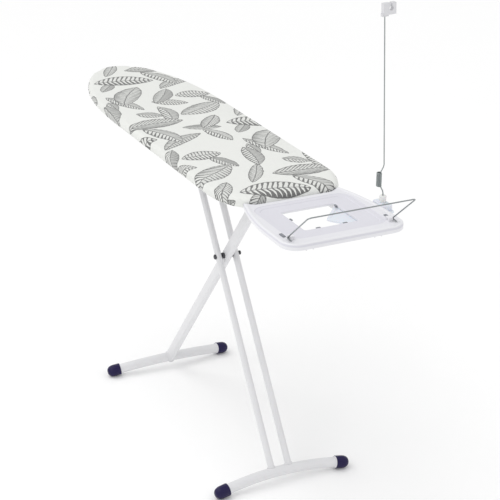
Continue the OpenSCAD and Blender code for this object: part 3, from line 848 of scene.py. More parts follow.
class Wardrobe:
    """Every finish of the board, built once and handed out by name of slot."""

    def __init__(self, effects: Effects) -> None:
        """Builds the materials."""
        white = (0.77, 0.77, 0.785)
        finishes = {
            "cover_fabric": PrintedCotton("printed_cotton", (0.83, 0.84, 0.81), 0.85),
            "underlay": Felt("grey_felt", (0.62, 0.61, 0.58), 0.95),
            "elastic_band": Felt("knitted_elastic", (0.82, 0.82, 0.8), 0.8, rib=3500.0),
            "white_steel": Coating(
                "white_powder_coat", white, 0.32, 650.0, 0.00004, 0.03, 0.25, 0.0006
            ),
            "panel": Perforated("perforated_sheet", white, 0.4),
            "plated_steel": Steel(
                "zinc_plate", (0.60, 0.61, 0.63), 0.28, (1.0, 0.0, 0.0), 1.0, 0.0004
            ),
            "wire_steel": Steel("drawn_wire", (0.34, 0.37, 0.37), 0.3, (0.0, 0.0, 1.0)),
            "bail_steel": Steel("bent_wire", (0.34, 0.36, 0.37), 0.3, (0.0, 1.0, 0.0)),
            "tray_plastic": Coating(
                "lavender_moulding", (0.79, 0.785, 0.82), 0.42, 1500.0, 0.00003, 0.02
            ),
            "tray": TrayMoulding("tray_moulding", (0.80, 0.80, 0.83), 0.35, 1500.0, 0.00006, 0.02),
            "bracket_plastic": Coating(
                "bluish_moulding", (0.74, 0.77, 0.84), 0.3, 1200.0, 0.00001, 0.02, 0.3, 0.0005, 0.05
            ),
            "white_plastic": Coating(
                "white_moulding", (0.85, 0.85, 0.84), 0.35, 1200.0, 0.00002, 0.02, 0.2, 0.0004, 0.05
            ),
            "clip_plastic": Coating(
                "grey_white_moulding", (0.70, 0.70, 0.72), 0.4, 1500.0, 0.00003, 0.05, 0.0, 0.0012
            ),
            "cap_navy": Coating(
                "navy_moulding", (0.016, 0.011, 0.062), 0.33, 1300.0, 0.00005, 0.1, 0.04, shine=0.2
            ),
            "grey_plastic": Coating(
                "grey_moulding", (0.22, 0.23, 0.26), 0.42, 1300.0, 0.00005, 0.1, 0.1, 0.0006
            ),
            "dark_bolt": Steel(
                "blackened_steel", (0.10, 0.10, 0.11), 0.35, (0.0, 1.0, 0.0), 0.8, 0.0004
            ),
        }
        self.made = {slot: finish.material(effects) for slot, finish in finishes.items()}

    def __getitem__(self, slot: str) -> bpy.types.Material:
        """The material of a slot."""
        return self.made[slot]


# ---------------------------------------------------------------- board


@dataclass
class BoardTop:
    """The padded top: printed cover, gathered hem, elastic and underlay on a thin steel pan."""

    top: float = 929.0
    tail: float = 484.0
    length: float = 1341.0
    half: float = 190.0
    nose: float = 566.0
    nose_power: float = 2.54
    tail_round: float = 150.0
    tail_flat: float = 105.0
    around: int = 448
    hem_around: int = 1344
    shoulder: float = 15.0
    spine_tail: float = 130.0
    spine_nose: float = 150.0
    fold_every: float = 31.0
    fold_depth: float = 0.8
    pleat_every: float = 13.0
    pad_bottom: float = 906.6
    pad_lid: float = 924.0

    def half_width(self, u: np.ndarray) -> np.ndarray:
        """Half width at distance u from the tail.

        A quarter ellipse, a straight, then a superellipse to the nose.
        """
        start = self.tail_flat + (self.half - self.tail_flat) * np.sqrt(
            np.clip(1 - ((self.tail_round - u) / self.tail_round) ** 2, 0, 1)
        )
        full = self.length - self.nose
        late = np.clip(u - full, 0, None) / self.nose
        end = self.half * np.sqrt(np.clip(1 - late**self.nose_power, 0, 1))
        return np.where(u < self.tail_round, start, np.where(u < full, self.half, end))

    def outline(self, count: int) -> tuple:
        """Evenly spaced points round the board from its tail's middle, outward normals and run."""
        full = self.length - self.nose
        u = np.concatenate(
            [
                np.zeros(60),
                self.tail_round * (1 - np.cos(np.linspace(0, math.pi / 2, 200)))[1:],
                np.linspace(self.tail_round, full, 400)[1:],
                full + self.nose * np.sin(np.linspace(0, math.pi / 2, 700))[1:],
            ]
        )
        y = self.half_width(u)
        y[:60] = np.linspace(0, self.tail_flat, 60)
        one = np.stack([self.tail - u, -y], 1)
        loop = np.concatenate([one, (one * [1, -1])[::-1][1:]])
        run = run_of(loop)
        at = np.linspace(0, run[-1], count, endpoint=False)
        even = np.stack([np.interp(at, run, loop[:, k]) for k in (0, 1)], 1)
        way = np.roll(even, -1, 0) - np.roll(even, 1, 0)
        way /= np.linalg.norm(way, axis=1, keepdims=True)
        return even, np.stack([-way[:, 1], way[:, 0]], 1), at

    def rings(self, insets: np.ndarray, levels: np.ndarray, count: int) -> tuple:
        """Rings drawn in from the outline, with each point's place on the flat cloth.

        Args:
            insets: distance of each ring inside the outline.
            levels: height of each ring, or an array of rings by points.
            count: points in a ring.

        Returns:
            Points (rings, count, 3) and flat places of the same shape.
        """
        edge, out, _ = self.outline(count)
        flat = edge[None] - out[None] * insets[:, None, None]
        level = np.broadcast_to(levels if levels.ndim > 1 else levels[:, None], flat.shape[:2])
        points = np.concatenate([flat, level[..., None]], -1)
        middle = level.mean(1)
        run = np.concatenate([[0], np.cumsum(np.hypot(np.diff(insets), np.diff(middle)))])
        cloth = edge[None] - out[None] * (insets[0] - run)[:, None, None]
        return points, np.concatenate([cloth, np.zeros_like(level)[..., None]], -1)

    def spine(self, loop: np.ndarray, level: float) -> np.ndarray:
        """The point of the board's middle line that faces each point of a loop."""
        nose = self.tail - self.length
        x = np.clip(loop[:, 0], nose + self.spine_nose, self.tail - self.spine_tail)
        return np.stack([x, np.zeros_like(x), np.full_like(x, level)], 1)

    def side_profile(self) -> tuple:
        """Insets and levels from the top's edge over the shoulder and down under the rim.

        The shoulder is a quarter of a superellipse of power 2.3; the side bulges by a millimetre.
        """
        turn = np.linspace(0, math.pi / 2, 11)[1:]
        inset = self.shoulder * (1 - np.sin(turn) ** (2 / 2.3))
        drop = 14.0 * (1 - np.cos(turn) ** (2 / 2.3))
        side = np.array([[0.0, 910.5], [0.6, 906.5], [1.8, 903.8], [4.0, 902.6], [7.0, 902.4]])
        insets = np.concatenate([[self.shoulder], inset, side[:, 0]])
        levels = np.concatenate([[self.top], self.top - drop, side[:, 1]])
        return insets, levels

    def skin(self) -> tuple:
        """The cover's grid: rows from the board's spine to the shoulder, then down the side.

        Uneven tension folds of sine form grow from nothing at the shoulder to 0.8 mm at the hem.
        """
        insets, levels = self.side_profile()
        side, cloth = self.rings(insets, levels, self.around)
        first = side[0]
        reach = self.half - self.shoulder
        spine = self.spine(first, self.top)
        share = np.linspace(0, 1, int(reach / 7.0))[:-1, None, None]
        inner = spine[None] + (first - spine)[None] * share
        points = np.concatenate([inner, side])
        flat = np.concatenate([inner * [1, 1, 0], cloth])
        crown = 1.2 * (1 - np.clip(np.abs(points[..., 1]) / reach, 0, 1) ** 2)
        points[..., 2] -= 1.3 - crown * np.where(np.arange(len(points)) < len(inner), 1, 0)[:, None]
        _, out, at = self.outline(self.around)
        pull = np.clip((924.0 - points[..., 2]) / 18.0, 0, 1) ** 1.5
        waver = 0.55 + 0.45 * np.sin(at / 143.0)
        phase = at / self.fold_every * 2 * math.pi + 2.5 * np.sin(at / 97.0)
        fold = np.sin(phase) * waver
        points[..., :2] += out[None] * (self.fold_depth * pull * fold[None])[..., None]
        return points, flat

    def make_cover(self, finish: bpy.types.Material) -> None:
        """Builds the cover, blows it up a little as cloth, and gives it a thickness."""
        points, flat = self.skin()
        mesh = bpy.data.meshes.new("padded_cover")
        faces = grid_faces(points.shape[0], points.shape[1], False, True)
        mesh.from_pydata((points.reshape(-1, 3) * MM).tolist(), [], faces.tolist())
        mark_cloth(mesh, flat)
        work = bmesh.new()
        work.from_mesh(mesh)
        bmesh.ops.remove_doubles(work, verts=work.verts, dist=0.05 * MM)
        work.normal_update()
        if sum(f.normal.z for f in work.faces) < 0:
            bmesh.ops.reverse_faces(work, faces=work.faces)
        work.to_mesh(mesh)
        work.free()
        mesh.shade_smooth()
        cover = show("padded_cover", mesh)
        Cloth(pin_below=906.0).fill(cover)
        wall = cover.modifiers.new("cloth_wall", "SOLIDIFY")
        wall.thickness = 0.0009
        wall.offset = -1.0
        settle(cover, "board", "cover_fabric", finish, "cover")

    def make_hem(self, finish: bpy.types.Material) -> None:
        """The gathered hem under the board: pleats of sine form that grow towards the elastic."""
        count = self.hem_around
        _, out, at = self.outline(count)
        insets = np.array([3.2, 7, 11, 15, 19, 22.2, 25.6, 26.4, 25.6, 22.5, 21.8])
        base = [903.0, 901.9, 901.6, 901.5, 901.6, 902.3, 902.0, 900.4, 898.9, 898.8, 900.0]
        phase = at / self.pleat_every * 2 * math.pi + 2.2 * np.sin(at / 71.0)
        wave = np.sin(phase) * (0.7 + 0.3 * np.sin(at / 37.0))
        depth = np.array([0, 0.15, 0.4, 0.7, 0.9, 0.6, 0.35, 0.2, 0.2, 0.25, 0.2])
        levels = np.array(base)[:, None] + depth[:, None] * wave[None]
        points, flat = self.rings(insets, levels, count)
        flat[..., :2] += out[None] * 30.0
        shell = surface(points, ends=False)
        hem = shell.piece("gathered_hem", 180.0)
        mark_cloth(hem.data, flat)
        wall = hem.modifiers.new("cloth_wall", "SOLIDIFY")
        wall.thickness = 0.0006
        settle(hem, "board", "cover_fabric", finish)

    def make_elastic(self, finish: bpy.types.Material) -> None:
        """The elastic in the hem: a flat band with soft edges that ripples with the pleats."""
        count = 896
        _, _, at = self.outline(count)
        corners = np.array([[25.0, 899.4], [25.0, 901.2], [23.2, 901.2], [23.2, 899.4]])
        section = rounded(corners, [0.5] * 4, 4, True)
        ripple = 0.25 * np.sin(at / self.pleat_every * 2 * math.pi)
        levels = section[:, 1][:, None] + ripple[None]
        points, _ = self.rings(section[:, 0], levels, count)
        band = surface(points, wrap_rows=True).piece("hem_elastic_band", 60.0)
        settle(band, "board", "elastic_band", finish, "hem_elastic")

    def make_underlay(self, finish: bpy.types.Material) -> None:
        """The felt pad between the pan and the cover: a slab with a round upper edge."""
        insets = np.array([10.0, 9.6, 9.6, 8.0, 7.0, 7.0, 8.5, 13.0, 20.0])
        levels = np.array([self.pad_bottom, 907.0, 911.3, 911.4, 912.5, 916.5, 919.5, 922.0, 923.0])
        side, _ = self.rings(insets, levels, self.around)
        bottom, lid = self.spine(side[0], self.pad_bottom), self.spine(side[0], self.pad_lid)
        share = np.linspace(0, 1, 9)[:-1, None, None]
        low = bottom + (side[0] - bottom) * share
        high = lid + (side[-1] - lid) * share
        layers = surface(np.concatenate([low, side, high[::-1]]), ends=False)
        pad = layers.piece("felt_underlay", 180.0, 0.05)
        settle(pad, "board", "underlay", finish, "underlay_pad")

    def build(self, wardrobe: Wardrobe) -> None:
        """Makes every piece of the top."""
        self.make_cover(wardrobe["cover_fabric"])
        self.make_hem(wardrobe["cover_fabric"])
        self.make_elastic(wardrobe["elastic_band"])
        self.make_underlay(wardrobe["underlay"])


@dataclass
class Cloth:
    """A short cloth simulation that fills a cover from inside."""

    pin_below: float
    pressure: float = 4.0
    frames: int = 20
    travel: float = 2.2
    slack: float = 0.012

    def fill(self, piece: bpy.types.Object) -> None:
        """Runs the simulation and keeps each point within its travel.

        Args:
            piece: the cover; its points below pin_below stay where they are.
        """
        mesh, scene = piece.data, bpy.context.scene
        count = len(mesh.vertices)
        rest = np.empty(count * 3, np.float32)
        mesh.vertices.foreach_get("co", rest)
        rest = rest.reshape(-1, 3)
        held = piece.vertex_groups.new(name="held")
        held.add(np.flatnonzero(rest[:, 2] < self.pin_below * MM).tolist(), 1.0, "REPLACE")
        cloth = piece.modifiers.new("filling", "CLOTH")
        setting = cloth.settings
        setting.quality = 4
        setting.mass = 0.15
        setting.tension_stiffness = 20
        setting.compression_stiffness = 20
        setting.shear_stiffness = 6
        setting.bending_stiffness = 1.0
        setting.vertex_group_mass = "held"
        setting.shrink_min = -self.slack
        setting.use_pressure = True
        setting.uniform_pressure_force = self.pressure
        setting.effector_weights.gravity = 0.0
        cloth.collision_settings.use_collision = False
        cloth.point_cache.frame_start = 1
        cloth.point_cache.frame_end = self.frames
        for step in range(1, self.frames + 1):
            scene.frame_set(step)
        solved = piece.evaluated_get(bpy.context.evaluated_depsgraph_get())
        moved = np.empty(count * 3, np.float32)
        solved.data.vertices.foreach_get("co", moved)
        piece.modifiers.remove(cloth)
        piece.vertex_groups.remove(held)
        move = moved.reshape(-1, 3) - rest
        far = np.linalg.norm(move, axis=1, keepdims=True)
        log.info("cloth moved up to %.2f mm", far.max() / MM)
        limit = self.travel * MM
        move *= limit * np.tanh(far / limit) / np.maximum(far, 1e-9)
        mesh.vertices.foreach_set("co", (rest + move).reshape(-1))
        mesh.update()
        scene.frame_set(1)


# ---------------------------------------------------------------- tray


@dataclass
class TrayShell:
    """The one-piece moulded tray: skirt, rolled rim, border, two steps, deck and opening."""

    centre: float = 634.0
    start: float = 454.0
    end: float = 796.0
    half: float = 178.0
    corner: float = 46.0
    rim: float = 919.0
    border: float = 917.0
    deck: float = 913.0
    underside: float = 907.0
    foot: float = 902.0
    lip: float = 912.8
    knee: float = 70.0
    bulge: float = 38.0
    bulge_run: float = 220.0
    opening: tuple = (136, 160, 7)
    rays: int = 540

    def polar(self, outline: np.ndarray) -> np.ndarray:
        """Distance from the tray's middle to a star-shaped outline on each ray."""
        line = np.concatenate([outline, outline[:1]])
        run = run_of(line)
        at = np.linspace(0, run[-1], 6000, endpoint=False)
        x, y = (np.interp(at, run, line[:, k]) for k in (0, 1))
        turn, far = np.arctan2(y, x - self.centre), np.hypot(x - self.centre, y)
        return np.interp(self.angles, turn, far, period=2 * math.pi)

    def edge(self, inset: float) -> np.ndarray:
        """Outer outline: sides that bulge towards the far end, and round outer corners."""
        middle = self.end - self.corner
        knee = middle - self.knee
        quarter = np.sin(np.linspace(0, math.pi / 2, 24))[1:]
        straight = np.linspace(self.start - 30, middle, 60)
        x = np.concatenate([straight, middle + (self.corner - inset) * quarter])
        past = np.clip(knee - x, 0, None) / self.bulge_run
        bulge = self.half - inset - self.bulge * past**2
        round_y = np.sqrt(np.clip((self.corner - inset) ** 2 - (x - middle) ** 2, 0, None))
        turn = self.half - self.corner + round_y
        y = np.where(x < middle, bulge, turn)
        side = np.stack([x, -y], 1)
        return np.concatenate([side, (side * [1, -1])[::-1]])

    def build(self, board: BoardTop, finish: bpy.types.Material) -> None:
        """Makes the tray as rounded profiles on rays from its middle, closed all round."""
        self.angles = np.linspace(-math.pi, math.pi, self.rays, endpoint=False)
        loop, out, _ = board.outline(board.hem_around)
        way = np.stack([np.cos(self.angles), np.sin(self.angles)], 1)

        def hugging(gap: float) -> np.ndarray:
            """Distance on each ray to the cover's edge grown by gap; far away where it misses."""
            rel = loop + out * gap - [self.centre, 0]
            facing = (rel[:, 0] < 0) & (np.einsum("ij,ij->i", rel, out) < 0)
            turn = np.mod(np.arctan2(rel[facing, 1], rel[facing, 0]), 2 * math.pi)
            reach = np.hypot(rel[facing, 0], rel[facing, 1])
            order = np.argsort(turn)
            rays = np.mod(self.angles, 2 * math.pi)
            return np.interp(rays, turn[order], reach[order], left=1e4, right=1e4)

        def outer(inset: float) -> tuple:
            """The tray's edge drawn in by inset on every side, and where the cover limits it."""
            tray, cover = self.polar(self.edge(inset)), hugging(1.0 + inset)
            return np.minimum(tray, cover), cover < tray

        def rect(length: float, width: float, radius: float) -> np.ndarray:
            """Distance on each ray to a round-cornered rectangle about the middle."""
            return self.polar(round_rect(length, width, radius, 24) + [self.centre, 0])

        _, by_cover = outer(0.0)
        kernel = np.hanning(13)
        kernel /= kernel.sum()
        three = np.convolve(np.tile(by_cover.astype(float), 3), kernel, "same")
        rim = self.rim + (self.lip - self.rim) * three[self.rays : 2 * self.rays]
        flat = np.full(self.rays, 1.0)
        rows = [
            (rect(*self.opening), self.underside * flat, 0.8),
            (outer(3.0)[0], self.underside * flat, 1.0),
            (outer(3.0)[0], self.foot * flat, 0.6),
            (outer(0.4)[0], self.foot * flat, 0.8),
            (outer(0.0)[0], (rim + 3 * self.foot) / 4, 4.0),
            (outer(0.6)[0], rim, 4.2),
            (outer(9.0)[0], rim, 2.6),
            (outer(11.0)[0], self.border * flat, 1.6),
            (rect(244, 292, 40), (self.border - 0.2) * flat, 1.0),
            (rect(241, 289, 38.5), 915.2 * flat, 0.8),
            (rect(216, 264, 28), 915.0 * flat, 0.9),
            (rect(212, 260, 26), (self.deck + 0.1) * flat, 0.9),
            (rect(140, 164, 9), self.deck * flat, 1.6),
            (rect(*self.opening), (self.deck - 1.2) * flat, 1.0),
        ]
        radius = np.stack([r[0] for r in rows])
        rim_row, step = 6, 1.5
        for k in range(rim_row + 1, rim_row + 4):
            radius[k] = np.minimum(radius[k], radius[rim_row] - step * (k - rim_row))
        level = np.stack([r[1] for r in rows])
        smooth = rounded(np.stack([radius, level], -1), [r[2] for r in rows], 5, True)
        flat_place = way[None] * smooth[..., :1] + [self.centre, 0]
        points = np.concatenate([flat_place, smooth[..., 1:]], -1)
        tray = surface(points, wrap_rows=True).piece("moulded_tray", 50.0)
        settle(tray, "board", "tray_plastic", finish, "tray")


# ---------------------------------------------------------------- legs


@dataclass
class LegFrame:
    """Local axes of a leg: origin at the crossing bolt, X up along the leg, Y across the board."""

    angle: float
    upper: float
    cross: tuple = (66.7475, 0.0, 583.4522)
    bar_r: float = 1024.92
    bar_half: float = math.radians(9.8027)
    straight: float = 32.0
    foot_level: float = 18.0

    @property
    def axes(self) -> np.ndarray:
        """Rows: the leg's X, Y and Z in the row frame."""
        c, s = math.cos(self.angle), math.sin(self.angle)
        return np.array([[c, 0, s], [0, 1, 0], [-s, 0, c]])

    @property
    def mid(self) -> float:
        """Distance from the bolt to the foot bar's middle, which puts the soles on the floor."""
        drop = self.bar_r * (1 - math.cos(self.bar_half)) + self.straight * math.sin(self.bar_half)
        return (self.cross[2] - self.foot_level) / abs(math.sin(self.angle)) - drop

    def place(self, shell: Shell) -> Shell:
        """A shell of the leg's own frame in the row frame."""
        return shell.placed(self.cross, self.axes)

    def bar(self, count: int, hidden: float = 0.0) -> np.ndarray:
        """Points along the foot bar's arc: (r cos a - r - mid, r sin a, 0)."""
        a = np.linspace(-1, 1, count) * (self.bar_half + hidden)
        return np.stack([self.bar_r * (np.cos(a) - 1) - self.mid, self.bar_r * np.sin(a), 0 * a], 1)

    def bar_end(self, side: int) -> tuple:
        """Origin and axes of a bar's end, Z pointing out along the bar."""
        c, s = math.cos(self.bar_half), math.sin(self.bar_half)
        spot = np.array([self.bar_r * (c - 1) - self.mid, side * self.bar_r * s, 0])
        out = np.array([-s, side * c, 0])
        return spot, np.stack([np.cross(out, [0, 0, 1]), [0, 0, 1], out])


@dataclass
class Feet:
    """A foot bar with its light collars and its ribbed navy caps."""

    leg: LegFrame
    body: str
    name: str
    bar_d: float = 31.0
    cap_d: float = 38.0
    cap_l: float = 46.0
    collar: float = 3.0
    dome: float = 25.0

    def cap_profile(self) -> np.ndarray:
        """Radius over height of a cap: a lipped mouth, a straight wall, a superellipse dome."""
        r = self.cap_d / 2
        mouth = self.bar_d / 2 + 0.5
        turn = np.linspace(0, math.pi / 2, 18)
        start = self.cap_l - self.dome
        radius = (r - 0.1) * np.cos(turn) ** (2 / 2.5)
        dome = np.stack([radius, start + self.dome * np.sin(turn) ** (2 / 2.5)], 1)
        wall = np.array(
            [
                [mouth, 16.0],
                [mouth, self.collar + 0.6],
                [mouth + 0.8, self.collar],
                [r - 0.2, self.collar],
                [r + 0.1, self.collar + 0.5],
                [r + 0.1, self.collar + 2.6],
                [r - 0.5, self.collar + 3.4],
                [r - 0.1, self.collar + 5.0],
            ]
        )
        return np.concatenate([wall, dome])

    def build(self, wardrobe: Wardrobe) -> None:
        """Makes the bar, both collars and both caps."""
        leg = self.leg
        bar = carried(leg.bar(90, math.radians(1.0)), ring(self.bar_d / 2, 40), (0, 0, 1))
        white = wardrobe["white_steel"]
        piece = leg.place(bar).piece(f"{self.name}_bar")
        settle(piece, self.body, "white_steel", white, f"{self.name}_foot_bar")
        r = self.bar_d / 2
        far = self.collar - 0.1
        corners = np.array([[r + 0.2, -1.0], [r + 2.3, -1.0], [r + 2.5, far], [r + 0.2, far]])
        profile = rounded(corners, [0.3, 0.9, 0.5, 0.2], 4, True)
        rings = Shell(np.empty((0, 3)), [])
        for side, hand in ((-1, "left"), (1, "right")):
            spot, axes = leg.bar_end(side)
            one = surface(self.revolved(profile), wrap_rows=True)
            rings = rings + one.placed(spot, axes)
            cap = leg.place(turned(self.cap_profile(), 128, 16, 0.014).placed(spot, axes))
            cap.points[:, 2] = np.maximum(cap.points[:, 2], 0.0)
            piece = cap.piece(f"{self.name}_cap_{hand}_ribbed", 50.0)
            settle(piece, self.body, "cap_navy", wardrobe["cap_navy"], f"{self.name}_cap_{hand}")
        piece = leg.place(rings).piece(f"{self.name}_cap_collars")
        settle(piece, self.body, "tray_plastic", wardrobe["tray_plastic"], f"{self.name}_collars")

    @staticmethod
    def revolved(profile: np.ndarray) -> np.ndarray:
        """Grid of a closed profile turned about Z."""
        angle = np.linspace(0, 2 * math.pi, 48, endpoint=False)
        radius = np.broadcast_to(profile[:, :1], (len(profile), 48))
        height = np.broadcast_to(profile[:, 1:], (len(profile), 48))
        return np.stack([radius * np.cos(angle), radius * np.sin(angle), height], -1)


@dataclass
class ScissorLegs:
    """Both legs: flat-oval rear leg, twin-tube front leg, the bolt between them and the feet."""

    rear: LegFrame
    front: LegFrame
    tube_y: float = 28.2
    tube_d: float = 20.0
    oval_h: float = 38.0
    bar_d: float = 31.0

    def weld(self, leg: LegFrame, section: np.ndarray, y: float) -> Shell:
        """A rippled bead where a tube meets the bar.

        Its line is the tube's section laid on the bar: x = sqrt(bar radius^2 - z^2) above the
        bar's middle.
        """
        r = self.bar_d / 2
        z = section[:, 1]
        x = np.sqrt(np.clip((r + 0.6) ** 2 - z**2, 0, None)) - leg.mid
        line = np.stack([x, section[:, 0] + y, z], 1)
        count = len(section)
        size = 2.0 + 0.25 * np.sin(np.arange(count) * 2 * math.pi / 5)
        bead = ring(1.0, 12)[None] * size[:, None, None]
        return carried(line, bead, (1, 0, 0), closed=True)

    def build(self, wardrobe: Wardrobe) -> None:
        """Makes the tubes, beads, bolt and nut, and both feet."""
        white, dark = wardrobe["white_steel"], wardrobe["dark_bolt"]
        rear, front = self.rear, self.front
        section = oval(self.bar_d - 11.0, self.oval_h, 56)
        ends = np.array([-rear.mid + 2.0, rear.upper - 24.0])
        path = np.stack([np.linspace(*ends, 40), np.zeros(40), np.zeros(40)], 1)
        tube = carried(path, section, (0, 0, 1))
        piece = rear.place(tube).piece("rear_leg_oval")
        settle(piece, "rear_leg", "white_steel", white, "rear_leg_tube")
        bead = rear.place(self.weld(rear, oval(21.0, 39.0, 160), 0.0))
        settle(bead.piece("rear_weld", 60.0), "rear_leg", "white_steel", white)
        for side, hand in ((1, "left"), (-1, "right")):
            y = side * self.tube_y
            x = np.linspace(-front.mid + 6.0, front.upper - 6.2, 40)
            path = np.stack([x, np.full(40, y), np.zeros(40)], 1)
            tube = carried(path, ring(self.tube_d / 2, 36), (0, 0, 1))
            piece = front.place(tube).piece(f"front_leg_{hand}")
            settle(piece, "front_leg", "white_steel", white, f"front_tube_{hand}")
            bead = front.place(self.weld(front, ring(self.tube_d / 2 + 0.4, 100), y))
            settle(bead.piece(f"front_weld_{hand}", 60.0), "front_leg", "white_steel", white)
        self.make_bolt(dark)
        Feet(rear, "rear_leg", "rear").build(wardrobe)
        Feet(front, "front_leg", "front").build(wardrobe)

    def make_bolt(self, finish: bpy.types.Material) -> None:
        """The crossing bolt with a domed head, and its six-sided nut."""
        axes = np.array([[1, 0, 0], [0, 0, -1], [0, 1, 0]])
        head = self.tube_y + self.tube_d / 2 + 5.4
        head_edge = [[0.01, 0], [3.0, 0.25], [5.6, 1.1], [7.3, 2.4], [8.0, 4.0], [8.0, 5.0]]
        shank = [[4.0, 5.0], [4.0, 84.6], [3.4, 85.2], [0.01, 85.2]]
        dome = np.array(head_edge + shank)
        dome[:, 1] -= head
        bolt = turned(dome, 40).placed((0, 0, 0), axes)
        piece = self.rear.place(bolt).piece("domed_bolt")
        settle(piece, "rear_leg", "dark_bolt", finish, "crossing_bolt")
        angle = np.linspace(0, 2 * math.pi, 72, endpoint=False)
        flat = 6.05 / np.cos(np.mod(angle + math.pi / 6, math.pi / 3) - math.pi / 6)
        heights = np.array([0.0, 0.0, 0.5, 5.2, 5.9, 5.9])
        scale = np.array([0.62, 0.93, 1.0, 1.0, 0.93, 0.62])
        grid = np.stack(
            [
                scale[:, None] * (flat * np.cos(angle))[None],
                scale[:, None] * (flat * np.sin(angle))[None],
                np.broadcast_to(heights[:, None] + self.tube_y + self.tube_d / 2 + 0.3, (6, 72)),
            ],
            -1,
        )
        nut = surface(grid).placed((0, 0, 0), axes)
        piece = self.rear.place(nut).piece("lock_nut", 30.0)
        settle(piece, "rear_leg", "dark_bolt", finish, "crossing_bolt_nut")


# ---------------------------------------------------------------- wires and cable holder


@dataclass
class WireBail:
    """The raised wire bail that stops the iron station from sliding off."""

    x: float = 746.0
    y: float = 154.0
    z: float = 922.0
    arm: float = 142.0
    rise: float = math.radians(40)
    wire: float = 3.5

    def build(self, finish: bpy.types.Material) -> None:
        """Makes the wire with rounded corners, its bent pins and its short tails."""
        low = np.array([self.x, 0, self.z])
        tip = low + self.arm * np.array([math.cos(self.rise), 0, math.sin(self.rise)])
        half = [low + [0, -139, 0], low + [0, -self.y, 0], tip + [0, -self.y, 0]]
        corners = np.array(half + [p * [1, -1, 1] for p in half[::-1]])
        path = rounded(corners, [0.5, 2.5, 11, 11, 2.5, 0.5], 10, False)
        run = run_of(path)
        at = np.unique(np.concatenate([run, np.linspace(0, run[-1], 160)]))
        path = np.stack([np.interp(at, run, path[:, k]) for k in range(3)], 1)
        path = spaced(path, 1e-4)
        normal = (-math.sin(self.rise), 0, math.cos(self.rise))
        shell = carried(path, ring(self.wire / 2, 16), normal)
        for side in (-1, 1):
            root = np.array([self.x, side * self.y, self.z])
            tail = np.linspace(root, root + [21, 0, -1.5], 6)
            shell = shell + carried(tail, ring(1.8, 14), (0, 1, 0))
        settle(shell.piece("bent_wire_bail"), "wire_bail", "wire_steel", finish, "wire_bail")


